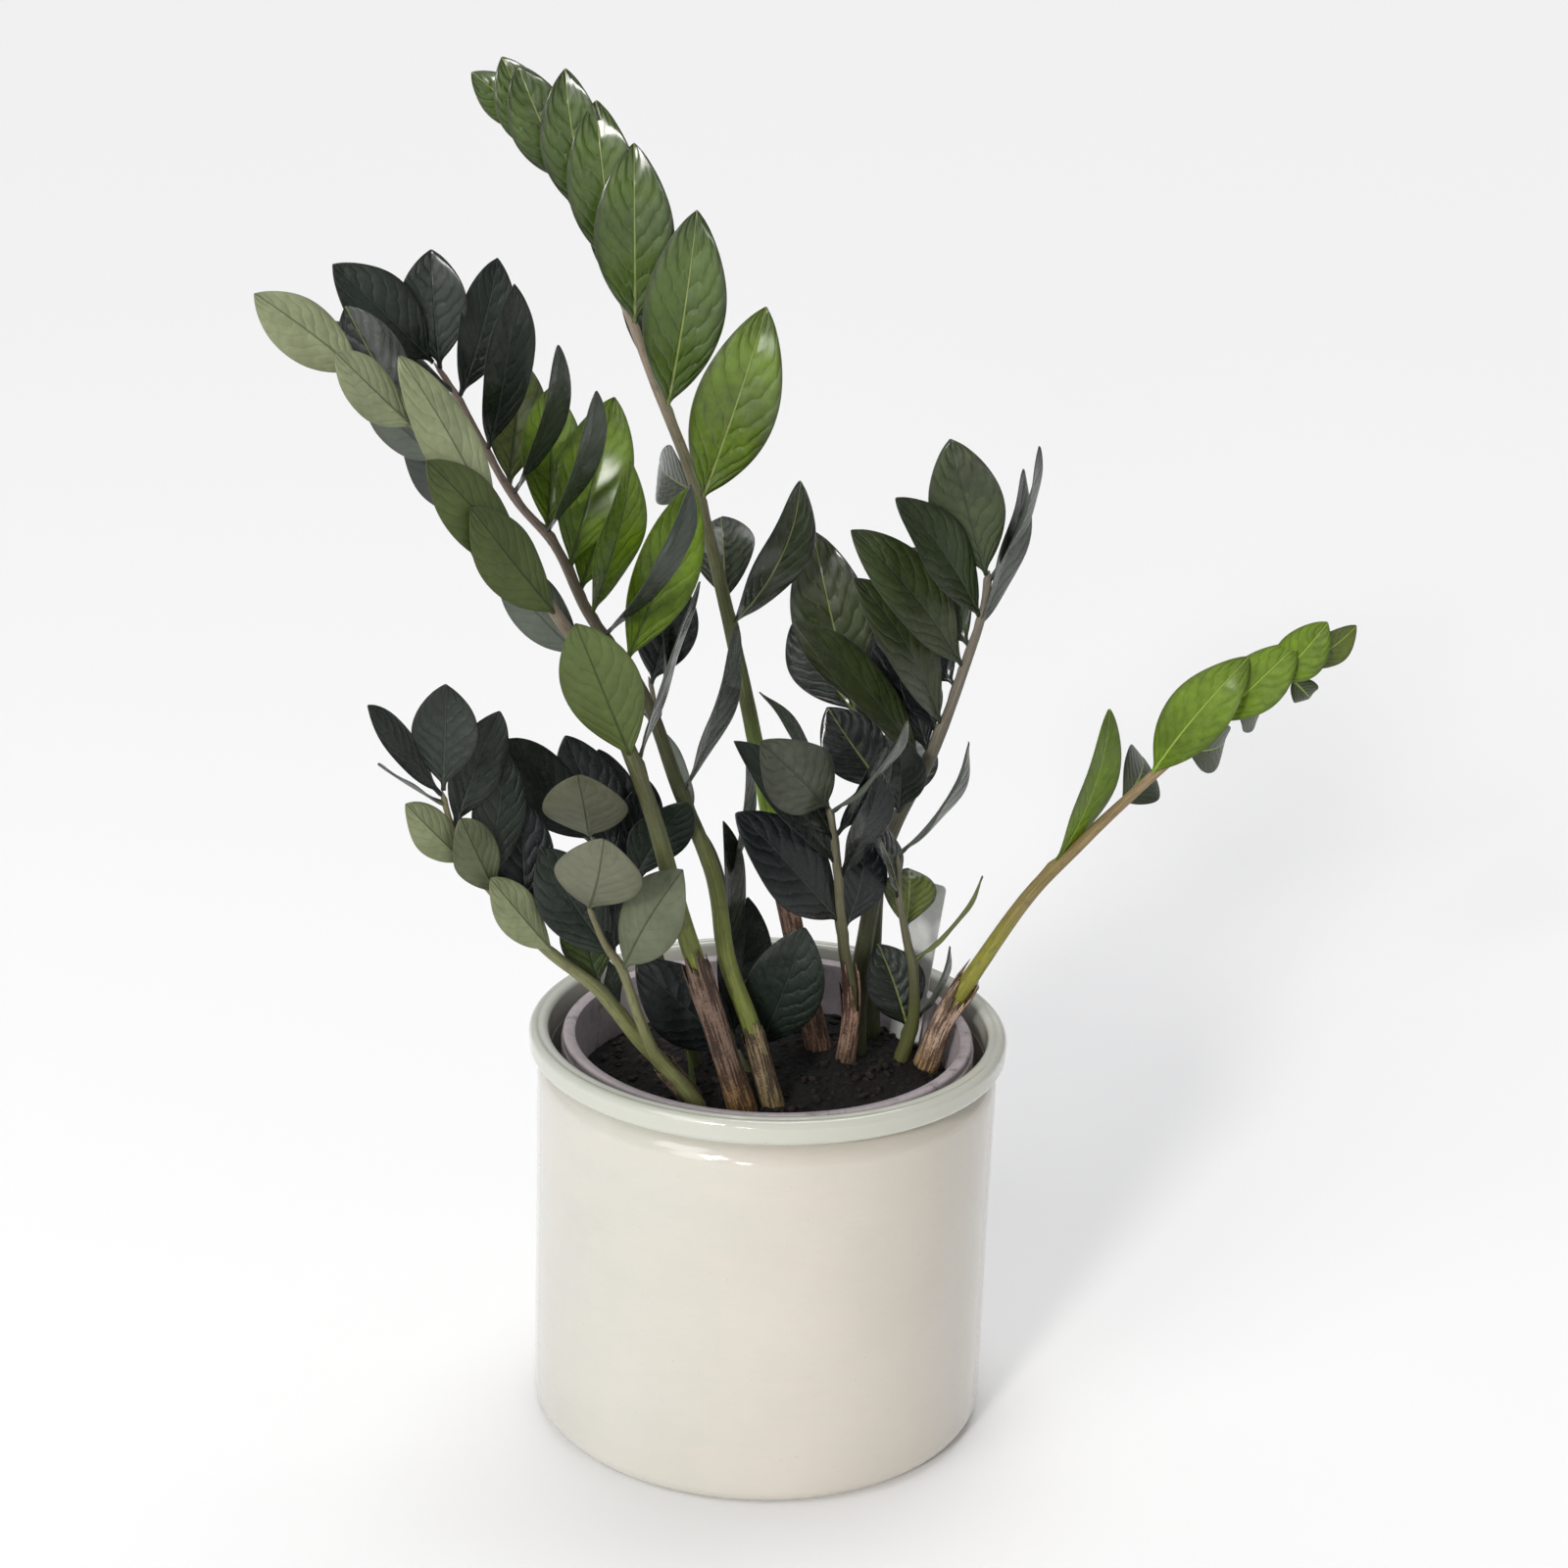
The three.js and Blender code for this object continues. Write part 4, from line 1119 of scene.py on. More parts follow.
# ------------------------------------------------------------------------ fronds
@dataclass
class LeafMaker:
    """Builds leaflets: a grid bent into a folded, arched and quilted blade with a rounded stalk."""

    rows: int = 26
    columns: int = 12
    stalk: float = 5.0
    stalk_radius: float = 1.15
    half_thickness: float = 0.34
    vein_rows: float = 8.0
    rib_width: float = 0.9
    groove: float = 0.28
    keel: float = 0.5

    def half_width(self, share: float, long: float, wide: float) -> float:
        """Works out half the blade's width.

        Args:
            share: The place along the leaflet, stalk included, from 0 to 1.
            long: The leaflet's length, in millimetres.
            wide: The blade's greatest width.

        Returns:
            Half the width there, in millimetres.
        """
        start = self.stalk / long
        blade = min(1.0, max(0.0, (share - start * 0.7) / (1 - start * 0.7)))
        oval = max(0.0, math.sin(math.pi * blade**1.06)) ** 0.74 * wide / 2
        stalk = self.stalk_radius * (1 - 0.25 * ease(0, start, share))
        least = stalk if blade < 0.3 else 0.22
        return math.sqrt(oval * oval + least * least)

    def add(
        self, maker: Maker, spine: Spine, frond: Frond, leaflet: Leaflet, stem_radius: float, seed: int
    ) -> None:
        """Adds one leaflet to a bmesh.

        Args:
            maker: The bmesh, with its leaf layers.
            spine: The frond's centre line.
            frond: The frond.
            leaflet: The leaflet's row.
            stem_radius: The stem's radius where it joins, in millimetres.
            seed: A whole number that sets its small differences.
        """
        dice = random.Random(seed)
        centre = spine.at(leaflet.at)
        reach = leaflet.heading
        tangent = spine.heading(leaflet.at)
        out = (reach - tangent * reach.dot(tangent)).normalized()
        start = centre + out * stem_radius * MM * 0.55
        midrib = centre + reach * leaflet.reach * MM - start
        long = midrib.length / MM
        along = midrib.normalized()
        front = Vector((0, -1, 0))
        face0 = (front - along * front.dot(along)).normalized()
        bow = frond.bow * dice.uniform(0.7, 1.3)
        twist = math.radians(dice.uniform(-9, 9))
        sway = dice.uniform(-0.018, 0.018)
        wave, phase = dice.uniform(0.3, 0.9), dice.uniform(0, math.tau)
        curl = dice.uniform(0.0, 0.03) if frond.bow > 0 else 0.0
        cushion = 0.3 if frond.slot == "leaf_green" else 0.12

        layers = maker.verts.layers
        place = layers.float_vector["leaf_place"]
        traits = layers.float_vector["leaf_traits"]
        upper, under = layers.float_color["leaf_upper"], layers.float_color["leaf_under"]
        tint = dice.uniform(0.86, 1.14)
        grid = bmesh.ops.create_grid(maker, x_segments=self.rows, y_segments=self.columns, size=0.5)["verts"]
        faces = list({f for v in grid for f in v.link_faces})
        lift = bmesh.ops.extrude_face_region(maker, geom=faces)["geom"]
        lifted = [g for g in lift if isinstance(g, bmesh.types.BMVert)]
        spots = {v: (v.co.x + 0.5, max(-1.0, min(1.0, v.co.y * 2))) for v in (*grid, *lifted)}
        lifted_set = set(lifted)
        start_share = self.stalk / long
        for vert, (t, v) in spots.items():
            top = vert in lifted_set
            half = self.half_width(t, long, leaflet.wide)
            v = math.copysign(abs(v) ** 1.15, v)
            x = v * half
            stalky = 1 - ease(start_share * 0.4, start_share * 1.8, t)
            fold = frond.fold * (1 - stalky)
            rise = fold * (math.sqrt(x * x + 4.0) - 2.0)
            arch = bow * long * 4 * t * (1 - t) - curl * long * ease(0.62, 1.0, t) ** 2
            ripple = wave * abs(v) ** 3 * math.sin(phase + t * 11 + (1.9 if v > 0 else 0)) * (1 - stalky)
            vein = abs((t * self.vein_rows - 1.5 * abs(v) - 0.9 * v * v + (0.45 if v > 0 else 0)) % 1.0 - 0.5) * 2
            quilt = cushion * (1 - vein**2) * (1 - abs(v) ** 4) * (1 - stalky)
            rib = math.exp(-((x / self.rib_width) ** 2)) * (1 - 0.6 * t) * (1 - stalky)
            thick = self.half_thickness * (1 - 0.35 * abs(v) ** 2)
            round_stalk = math.sqrt(max(0.0, 1 - v * v)) * self.stalk_radius
            if top:
                z = thick * (1 - stalky) + round_stalk * stalky + quilt - self.groove * rib
            else:
                z = -thick * (1 - stalky) - round_stalk * stalky + quilt * 0.3 - self.keel * rib
            z += rise + arch + ripple
            turn = math.radians(leaflet.turn) + twist * (t - 0.4)
            face = Matrix.Rotation(turn, 3, along) @ face0
            side = along.cross(face)
            drift = sway * long * math.sin(math.pi * t)
            vert.co = start + (along * (t * long) + side * (x + drift) + face * z) * MM
            vert[place] = (t, v, x * MM)
            vert[traits] = (1.0 if top else 0.0, float(seed % 97) * 0.37, leaflet.tone.dust)
            vert[upper] = Vector(leaflet.tone.upper) * tint
            vert[under] = Vector(leaflet.tone.under) * tint

    @staticmethod
    def new_bmesh() -> Maker:
        """A bmesh with the leaf's own layers."""
        maker = bmesh.new()
        for name in ("leaf_place", "leaf_traits"):
            maker.verts.layers.float_vector.new(name)
        for name in ("leaf_upper", "leaf_under"):
            maker.verts.layers.float_color.new(name)
        return maker


@dataclass
class FrondBuilder:
    """Builds one frond: its stalk, its own leaflets, its other leaflets and its sheath."""

    frond: Frond
    finishes: Finishes
    leaf_maker: LeafMaker = field(default_factory=LeafMaker)
    planted: float = 8.0
    sides: int = 16
    foot_swell: float = 0.14
    foot_height: float = 16.0
    seat_reach: float = 12.0

    def __post_init__(self) -> None:
        """Lays out the centre line."""
        self.spine = Spine([(x, y, height + SOIL_LEVEL) for x, y, height in self.frond.route])

    def radius(self, share: float) -> float:
        """The stalk's plain radius, in millimetres, at a share of its length."""
        return self.frond.tip + (self.frond.base - self.frond.tip) * 0.92 * (1 - min(1.0, max(0.0, share)))

    def foot(self, share: float) -> float:
        """How many times thicker the stalk is near its foot."""
        away = share * self.spine.length / MM / self.foot_height
        return 1 + self.foot_swell * math.exp(-(away**2))

    def build(self) -> None:
        """Builds every piece of the frond."""
        stalk = self._stalk()
        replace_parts(stalk, f"{self.frond.name}_stem")
        seed = sum(map(ord, self.frond.name))
        rest = LeafMaker.new_bmesh()
        for number, leaflet in enumerate(self.frond.leaflets):
            maker = LeafMaker.new_bmesh() if leaflet.node else rest
            stem_radius = self.radius(leaflet.at)
            self.leaf_maker.add(maker, self.spine, self.frond, leaflet, stem_radius, seed * 31 + number)
            if leaflet.node:
                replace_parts(self._leaf_piece(maker, f"blade_{leaflet.node}"), leaflet.node)
        if rest.verts:
            self._leaf_piece(rest, f"{self.frond.name}_blades")
        else:
            rest.free()
        wrap = WRAPS.get(self.frond.name)
        if wrap:
            sheath = self._sheath(wrap)
            if wrap.modelled:
                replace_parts(sheath, f"{self.frond.name}_sheath")

    def _leaf_piece(self, maker: Maker, name: str) -> Piece:
        """Closes the normals and makes a leaf piece."""
        bmesh.ops.recalc_face_normals(maker, faces=maker.faces[:])
        slot = self.frond.slot
        return finish_mesh(maker, name, self.finishes.leaves[slot], levels=1)

    def _stalk(self) -> Piece:
        """The stalk, swollen at its foot and a little at each leaflet.

        Returns:
            The piece.
        """
        name, spine = self.frond.name, self.spine
        seats = [(leaflet.at, self._seat_angle(leaflet)) for leaflet in self.frond.leaflets]
        long = spine.length / MM

        def radius(share: float, angle: float) -> float:
            """The stalk's radius in metres, with its ridges and seats."""
            plain = self.radius(share) * self.foot(share)
            rough = noise.noise(Vector((share * long / 9, angle, 3.1)))
            ridge = 1 + 0.02 * math.cos(3 * angle + 0.6) + 0.03 * rough
            swell = 0.0
            for at, seat in seats:
                away = (share - at) * long
                if abs(away) < self.seat_reach:
                    turn = math.cos(angle - seat)
                    swell += 0.35 * self.radius(at) * math.exp(-((away + 1.5) / 4) ** 2) * max(0.0, turn) ** 2
            close = ease(1.0, 0.985, share) if share > 0.985 else 1.0
            return (plain * ridge + min(swell, 1.1)) * MM * max(0.25, close)

        maker, place, tint = tube_maker()
        rings = max(14, round(long / 4))
        verts, places = bent_tube(maker, spine, self.sides, rings, radius)
        for vert, (share, angle) in zip(verts, places):
            vert[place] = (share * spine.length, angle, share)
            vert[tint] = self.frond.bark.at(share)
            if share < 1e-6:
                vert.co.z -= self.planted * MM
        bmesh.ops.recalc_face_normals(maker, faces=maker.faces[:])
        return finish_mesh(maker, f"{name}_stalk", self.finishes.stem)

    def _seat_angle(self, leaflet: Leaflet) -> float:
        """The angle round the stalk at which a leaflet sits."""
        reach = leaflet.heading
        _, across, up = self.spine.frame_at(leaflet.at)
        return math.atan2(reach.dot(up), reach.dot(across))

    def _sheath(self, wrap: Wrap) -> Piece:
        """A torn papery sleeve round the stalk's foot.

        Args:
            wrap: The sleeve's sizes and colours.

        Returns:
            The piece.
        """
        spine = self.spine
        seed = len(self.frond.name) * 1.7
        span = wrap.end - wrap.start

        def around(angle: float, fineness: float, height: float = 0.0) -> Vector:
            """A place in noise that closes up round the sleeve."""
            return Vector((math.cos(angle) * fineness, math.sin(angle) * fineness, height + seed))

        def radius(share: float, angle: float) -> float:
            """The sleeve's radius in metres, creased, and flared at its torn top."""
            up = (share - wrap.start) / span
            crease = noise.fractal(around(angle, 2.2, up * 1.3), 1.0, 2.1, 3)
            flare = wrap.stand_off * (0.3 + 0.9 * ease(0.55, 1.1, up))
            return (self.radius(share) * self.foot(share) + 0.4 + flare * (1 + 1.1 * crease) + 0.3 * crease) * MM

        maker, place, tint = tube_maker()
        sides, rings = 48, 26
        verts, places = bent_tube(maker, spine, sides, rings, radius, wrap.start, wrap.end, capped=False)
        for vert, (share, angle) in zip(verts, places):
            up = (share - wrap.start) / span
            torn = noise.noise(around(angle, 1.1)) * 1.3
            torn += noise.fractal(around(angle, 3.4), 0.8, 2.0, 3) * 0.6
            vert.co += spine.heading(share) * torn * wrap.tatter * ease(0.2, 1.0, up) * MM
            vert[place] = (share * spine.length, angle, up)
            vert[tint] = mix_colours(wrap.foot_tint, wrap.tint, ease(0.0, 0.45, up))
        bmesh.ops.recalc_face_normals(maker, faces=maker.faces[:])
        bmesh.ops.solidify(maker, geom=maker.faces[:], thickness=0.4 * MM)
        bmesh.ops.recalc_face_normals(maker, faces=maker.faces[:])
        return finish_mesh(maker, f"{self.frond.name}_torn_sheath", self.finishes.sheath)


# ------------------------------------------------------------------------ pots, peat and label
@dataclass
class Cachepot:
    """The glazed outer pot."""

    finishes: Finishes
    height: float = 190.0
    rim_radius: float = 110.0
    body_radius: float = 106.0
    wall: float = 7.0
    floor: float = 8.0
    rim_width: float = 9.0
    rim_height: float = 11.5
    steps: int = 128

    def build(self) -> Piece:
        """Turns the pot from its outline.

        Returns:
            The piece.
        """
        body, inner = self.body_radius, self.body_radius - self.wall
        neck = self.height - self.rim_height
        inner_rim = self.rim_radius - self.rim_width
        maker = turned(
            [
                (0, 2.0), (78, 2.0), (82, 0.4), (86, 0.0),
                *bow_points((body - 8, 8), 8, -90, 0, 8),
                (body + 0.2, 30), (body, 60), (body - 0.3, 95), (body - 0.1, 130), (body, 155),
                *bow_points((body - 12, neck - 13.5), 12, 0, 62, 9),
                (body - 5.6, neck - 2.2), (body - 5.2, neck - 1.0),
                *bow_points((self.rim_radius - 3.4, neck + 3.2), 3.2, -75, 8, 6),
                (self.rim_radius - 0.1, neck + 8),
                *bow_points((self.rim_radius - 3.6, self.height - 3.6), 3.6, 5, 82, 6),
                (self.rim_radius - 4.2, self.height - 0.55), (self.rim_radius - 4.7, self.height - 0.55),
                *bow_points((inner_rim + 2.6, self.height - 2.7), 2.7, 80, 185, 6),
                (inner_rim - 0.2, self.height - 9), (inner, neck - 12),
                (inner, 60), *bow_points((inner - 9, self.floor + 9), 9, 0, -90, 5), (0, self.floor),
            ],
            self.steps,
        )
        for vert in maker.verts:
            sway = noise.noise(vert.co * 9.0) * 0.35 * MM
            outward = Vector((vert.co.x, vert.co.y, 0))
            if outward.length > 0.05 and vert.co.z > 0.012:
                vert.co += outward.normalized() * sway
        piece = finish_mesh(maker, "glazed_cachepot", self.finishes.glaze, levels=1)
        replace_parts(piece, "cachepot")
        return piece


@dataclass
class GrowerPot:
    """The thin plastic pot inside, with its rolled lip."""

    finishes: Finishes
    rim_radius: float = 95.0
    base_radius: float = 72.0
    lowest: float = 8.3
    height: float = 178.0
    wall: float = 1.6
    skirt: float = 10.0
    steps: int = 120

    def build(self) -> Piece:
        """Turns the pot and folds its lip.

        Returns:
            The piece.
        """
        top = self.lowest + self.height
        neck, lip = self.rim_radius - 5, self.rim_radius
        maker = turned(
            [
                (0, self.lowest + 1.5), (60, self.lowest + 1.5), (63, self.lowest),
                (self.base_radius - 2, self.lowest), (self.base_radius, self.lowest + 2),
                (79, 60), (79.5, 62), (84.0, 118), (86.5, 150),
                (neck - 0.6, top - self.skirt - 1.5), (lip - 1.6, top - self.skirt - 0.6),
                (lip - 1.4, top - self.skirt - 2.2), (lip - 0.2, top - self.skirt - 2.2),
                (lip, top - self.skirt + 1), (lip, top - 4.6), (lip - 0.7, top - 4.0), (lip - 0.7, top - 2.2),
                *bow_points((lip - 2.3, top - 1.7), 1.7, 10, 95, 5),
                (neck + 0.4, top - 0.2), (neck - 1.2, top - 1.0), (neck - 1.7, top - 3.0),
                (neck - 1.8, top - 9), (neck - 2.6, top - 12), (87.0 - self.wall, 150),
                (84.0 - self.wall, 118), (78.0 - self.wall, 60),
                (self.base_radius - self.wall, self.lowest + 2.2), (0, self.lowest + 3.0),
            ],
            self.steps,
        )
        piece = finish_mesh(maker, "plastic_grower_pot", self.finishes.grower)
        sharpen(piece, 40)
        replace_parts(piece, "grower_pot")
        return piece


@dataclass
class Peat:
    """The growing medium: a rough crown, loose crumbs, fine roots and two new sprouts."""

    finishes: Finishes
    radius: float = 86.0
    crown: float = 3.0
    dip: float = 5.0
    cells: int = 150
    crumbs: int = 620
    roots: int = 90

    def height(self, x: float, y: float) -> float:
        """Works out the height of the rough surface.

        Args:
            x: The place along X, in millimetres.
            y: The place along Y.

        Returns:
            The height there, in millimetres.
        """
        away = math.hypot(x, y) / self.radius
        plain = SOIL_LEVEL + self.crown * (1 - ease(0.3, 0.85, away)) - self.dip * ease(0.82, 1.0, away)
        spot = Vector((x, y, 7.0))
        rough = noise.fractal(spot / 17, 1.0, 2.1, 4) * 2.4 + abs(noise.noise(spot / 3.1)) * 2.4
        return plain + rough * (1 - 0.6 * ease(0.9, 1.0, away)) - 0.6

    def build(self) -> None:
        """Builds the block of peat and what lies on it."""
        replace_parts(self._block(), "soil")
        self._crumbs()
        self._roots()
        self._sprouts()

    def _block(self) -> Piece:
        """A round block with a rough top.

        Returns:
            The piece.
        """
        maker = bmesh.new()
        bmesh.ops.create_grid(maker, x_segments=self.cells, y_segments=self.cells, size=1.0)
        lower = bmesh.ops.extrude_face_region(maker, geom=list(maker.faces))["geom"]
        low = {g for g in lower if isinstance(g, bmesh.types.BMVert)}
        for vert in maker.verts:
            x, y = vert.co.x, vert.co.y
            px = x * math.sqrt(max(0.0, 1 - y * y / 2)) * self.radius
            py = y * math.sqrt(max(0.0, 1 - x * x / 2)) * self.radius
            if vert in low:
                vert.co = Vector((px * 0.84, py * 0.84, 12)) * MM
            else:
                vert.co = Vector((px, py, self.height(px, py))) * MM
        bmesh.ops.recalc_face_normals(maker, faces=maker.faces[:])
        return finish_mesh(maker, "peat_block", self.finishes.peat)

    def _crumbs(self) -> Piece:
        """Loose crumbs of peat and bark.

        Returns:
            The piece.
        """
        dice = random.Random(11)
        maker = bmesh.new()
        for _ in range(self.crumbs):
            angle, away = dice.uniform(0, math.tau), math.sqrt(dice.uniform(0, 1)) * (self.radius - 4)
            x, y = away * math.cos(angle), away * math.sin(angle)
            size = dice.choice((0.5, 0.7, 0.9, 1.2, 1.2, 1.7, 2.4))
            made = bmesh.ops.create_icosphere(maker, subdivisions=1, radius=size * MM)["verts"]
            long, wide, tall = dice.uniform(0.8, 1.9), dice.uniform(0.6, 1.1), dice.uniform(0.45, 0.8)
            stretch = Matrix.Diagonal((long, wide, tall, 1))
            spin = Matrix.Rotation(dice.uniform(0, math.tau), 4, "Z")
            spin @= Matrix.Rotation(dice.uniform(-0.5, 0.5), 4, "X")
            spot = Matrix.Translation(Vector((x, y, self.height(x, y) + size * 0.3)) * MM)
            for vert in made:
                nudge = Vector((dice.uniform(-1, 1), dice.uniform(-1, 1), dice.uniform(-1, 1)))
                vert.co += nudge * size * 0.18 * MM
            bmesh.ops.transform(maker, matrix=spot @ spin @ stretch, verts=made)
        bmesh.ops.recalc_face_normals(maker, faces=maker.faces[:])
        return finish_mesh(maker, "peat_crumbs", self.finishes.crumb)

    def _roots(self) -> Piece:
        """Fine roots that lie on the peat.

        Returns:
            The piece.
        """
        dice = random.Random(5)
        maker, place, tint = tube_maker()
        for _ in range(self.roots):
            colour = mix_colours(shade(150, 122, 92), shade(206, 184, 150), dice.random())
            angle, away = dice.uniform(0, math.tau), math.sqrt(dice.uniform(0.05, 0.95)) * (self.radius - 12)
            x, y, heading = away * math.cos(angle), away * math.sin(angle), dice.uniform(0, math.tau)
            size = dice.choice((0.22, 0.3, 0.3, 0.45))
            route = []
            for _step in range(5):
                if math.hypot(x, y) > self.radius - 6:
                    break
                route.append((x, y, self.height(x, y) + size + dice.uniform(0.2, 1.4)))
                heading += dice.uniform(-0.7, 0.7)
                stride = dice.uniform(2.5, 5.5)
                x, y = x + stride * math.cos(heading), y + stride * math.sin(heading)
            if len(route) < 3:
                continue
            spine = Spine(route, 8)

            def taper(share: float, _angle: float, width: float = size) -> float:
                """A root's radius, fine at both ends."""
                return width * MM * (0.35 + 0.65 * math.sin(math.pi * min(1.0, max(0.0, share * 0.9 + 0.08))))

            verts, places = bent_tube(maker, spine, 5, 8, taper)
            for vert, (share, turn) in zip(verts, places):
                vert[place] = (share * spine.length, turn, share)
                vert[tint] = colour
        bmesh.ops.recalc_face_normals(maker, faces=maker.faces[:])
        return finish_mesh(maker, "fine_roots", self.finishes.root)

    def _sprouts(self) -> Piece:
        """Two pointed new sprouts near the left of the clump.

        Returns:
            The piece.
        """
        maker, place, tint = tube_maker()
        for route, size, colour in (
            (((-40, -26, 163), (-41, -27, 172), (-44, -28, 182)), 1.7, shade(176, 178, 92)),
            (((-33, -24, 163), (-34, -24, 174), (-36, -25, 185)), 2.0, shade(146, 168, 104)),
        ):
            spine = Spine(route, 12)

            def taper(share: float, _angle: float, width: float = size) -> float:
                """A sprout's radius, drawn out to a point."""
                return width * MM * max(0.08, (1 - share) ** 0.6)

            verts, places = bent_tube(maker, spine, 12, 14, taper)
            for vert, (share, turn) in zip(verts, places):
                vert[place] = (share * spine.length, turn, share)
                vert[tint] = colour
        bmesh.ops.recalc_face_normals(maker, faces=maker.faces[:])
        return finish_mesh(maker, "new_sprouts", self.finishes.stem)


@dataclass
class PlantLabel:
    """The blank plastic stick label at the back of the clump."""

    finishes: Finishes
    wide: float = 15.0
    tall: float = 88.0
    thick: float = 0.8
    foot: tuple[float, float] = (65.0, 46.0)
    lean: float = 7.0
    yaw: float = -20.0
    buried: float = 8.0

    def build(self) -> Piece:
        """Rounds a plate's corners and rims, and leans it in the peat.

        Returns:
            The piece.
        """
        maker = bmesh.new()
        bmesh.ops.create_cube(maker, size=1.0)
        bmesh.ops.scale(maker, vec=Vector((self.wide, self.thick, self.tall)) * MM, verts=maker.verts[:])
        corners = [e for e in maker.edges if abs(e.verts[0].co.y - e.verts[1].co.y) > 0.5 * self.thick * MM]
        bmesh.ops.bevel(
            maker, geom=corners, offset=2.4 * MM, affect="EDGES", segments=5, profile=0.5, material=-1
        )
        rims = [
            edge
            for edge in maker.edges
            if len(edge.link_faces) == 2 and 0.5 < sum(abs(face.normal.y) for face in edge.link_faces) < 1.5
        ]
        bmesh.ops.bevel(
            maker, geom=rims, offset=0.18 * MM, affect="EDGES", segments=2, profile=0.5, material=-1
        )
        bmesh.ops.translate(maker, vec=Vector((0, 0, self.tall / 2 - self.buried)) * MM, verts=maker.verts[:])
        turn = Matrix.Rotation(math.radians(self.yaw), 4, "Z")
        turn @= Matrix.Rotation(math.radians(self.lean), 4, "Y")
        spot = Matrix.Translation(Vector((*self.foot, SOIL_LEVEL)) * MM)
        bmesh.ops.transform(maker, matrix=spot @ turn, verts=maker.verts[:])
        bmesh.ops.recalc_face_normals(maker, faces=maker.faces[:])
        piece = finish_mesh(maker, "blank_label", self.finishes.label)
        sharpen(piece, 35)
        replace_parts(piece, "plant_label")
        return piece


# ------------------------------------------------------------------------ studio
@dataclass(frozen=True)
class Lamp:
    """A soft light that comes evenly from one direction, given in degrees."""

    name: str
    around: float
    height: float
    spread: float
    strength: float
    colour: tuple[float, float, float] = (1.0, 1.0, 1.0)

    def build(self) -> None:
        """Adds the light. around turns from the front towards +X."""
        light = bpy.data.lights.new(self.name, "SUN")
        light.angle = math.radians(self.spread)
        light.energy = self.strength
        light.color = self.colour
        lamp = bpy.data.objects.new(self.name, light)
        turn, rise = math.radians(self.around), math.radians(self.height)
        source = Vector((math.sin(turn) * math.cos(rise), -math.cos(turn) * math.cos(rise), math.sin(rise)))
        lamp.rotation_euler = source.to_track_quat("Z", "Y").to_euler()
        bpy.context.scene.collection.objects.link(lamp)


@dataclass(frozen=True)
class Softbox:
    """A rectangular area light that looks at a point."""

    name: str
    spot: tuple[float, float, float]
    aim: tuple[float, float, float]
    size: tuple[float, float]
    watts: float

    def build(self) -> None:
        """Adds the light."""
        light = bpy.data.lights.new(self.name, "AREA")
        light.shape = "RECTANGLE"
        light.size, light.size_y = self.size
        light.energy = self.watts
        lamp = bpy.data.objects.new(self.name, light)
        lamp.location = self.spot
        lamp.rotation_euler = (Vector(self.aim) - Vector(self.spot)).to_track_quat("-Z", "Y").to_euler()
        bpy.context.scene.collection.objects.link(lamp)


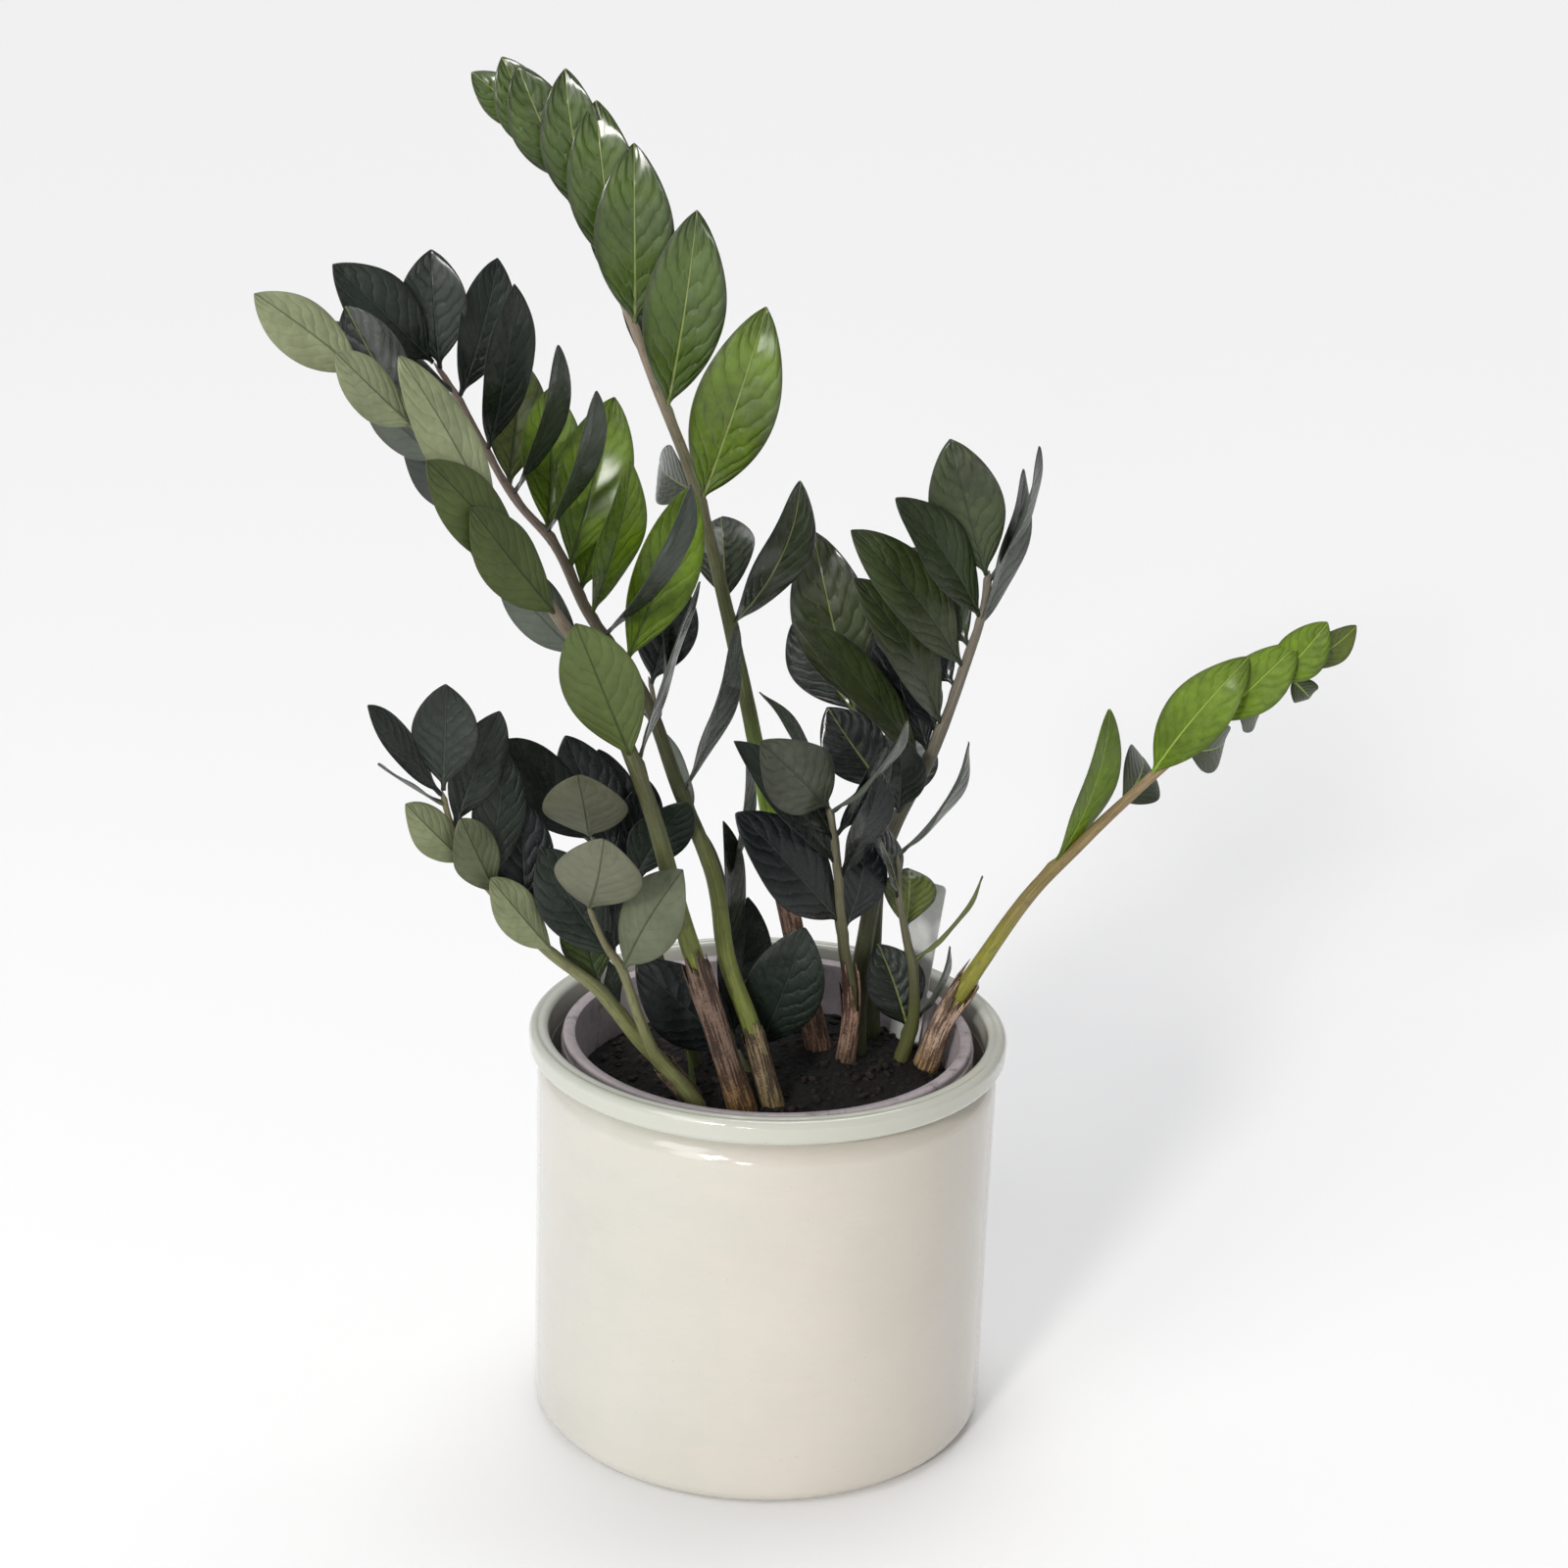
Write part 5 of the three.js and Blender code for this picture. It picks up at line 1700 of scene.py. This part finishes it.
@dataclass
class Studio:
    """The pale floor, the soft lights and the camera."""

    eye: tuple[float, float, float] = (0.0056, -1.286, 0.7374)
    down: float = 18.55
    yaw: float = -0.09
    roll: float = 1.94
    lens: float = 69.46
    lamps: tuple[Lamp | Softbox, ...] = (
        Softbox("key", (-1.14, -1.16, 1.46), (0, 0, 0.2), (0.8, 1.1), 8.0),
        Lamp("sun", -24.0, 22.0, 9.0, 1.5, (1.0, 0.975, 0.94)),
        Lamp("gleam", -9.0, 9.0, 7.0, 0.2),
        Lamp("front", -34.0, 14.0, 24.0, 0.35),
        Lamp("overhead", 172.0, 70.0, 40.0, 1.3),
    )
    air: float = 0.38
    floor_half: float = 40.0
    floor_drop: float = 0.0004

    def build(self) -> None:
        """Builds the whole studio."""
        self._floor()
        for lamp in self.lamps:
            lamp.build()
        world = bpy.data.worlds.new("air")
        world.use_nodes = True
        backdrop = world.node_tree.nodes["Background"]
        backdrop.inputs["Color"].default_value = (0.98, 0.985, 1.0, 1.0)
        backdrop.inputs["Strength"].default_value = self.air
        bpy.context.scene.world = world
        self._camera()

    def _floor(self) -> None:
        """A wide pale floor."""
        maker = bmesh.new()
        bmesh.ops.create_grid(maker, x_segments=2, y_segments=2, size=self.floor_half)
        mesh = bpy.data.meshes.new("studio_floor")
        maker.to_mesh(mesh)
        maker.free()
        floor = bpy.data.objects.new("studio_floor", mesh)
        floor.location = (0, 0, -self.floor_drop)
        bpy.context.scene.collection.objects.link(floor)
        material = bpy.data.materials.new("pale_floor")
        material.use_nodes = True
        shader = material.node_tree.nodes["Principled BSDF"]
        shader.inputs["Base Color"].default_value = (0.93, 0.93, 0.935, 1.0)
        shader.inputs["Roughness"].default_value = 0.7
        floor.data.materials.append(material)

    def _camera(self) -> None:
        """The camera, with a slight roll."""
        camera = bpy.data.cameras.new("view")
        camera.lens = self.lens
        camera.sensor_width = 36.0
        camera.clip_start = 0.05
        eye = bpy.data.objects.new("view", camera)
        turn = (
            Matrix.Rotation(math.radians(-self.yaw), 4, "Z")
            @ Matrix.Rotation(math.radians(90 - self.down), 4, "X")
            @ Matrix.Rotation(math.radians(self.roll), 4, "Z")
        )
        eye.matrix_world = Matrix.Translation(Vector(self.eye)) @ turn
        bpy.context.scene.collection.objects.link(eye)
        bpy.context.scene.camera = eye
        bpy.context.scene.view_settings.view_transform = "Standard"


def main() -> None:
    """Builds the plant's pieces in order, then the studio."""
    logging.basicConfig(level=logging.INFO, format="%(message)s")
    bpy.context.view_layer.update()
    finishes = Finishes.build()
    Cachepot(finishes).build()
    GrowerPot(finishes).build()
    Peat(finishes).build()
    PlantLabel(finishes).build()
    for frond in FRONDS:
        FrondBuilder(frond, finishes).build()
    Studio().build()


if __name__ == "__main__":
    main()
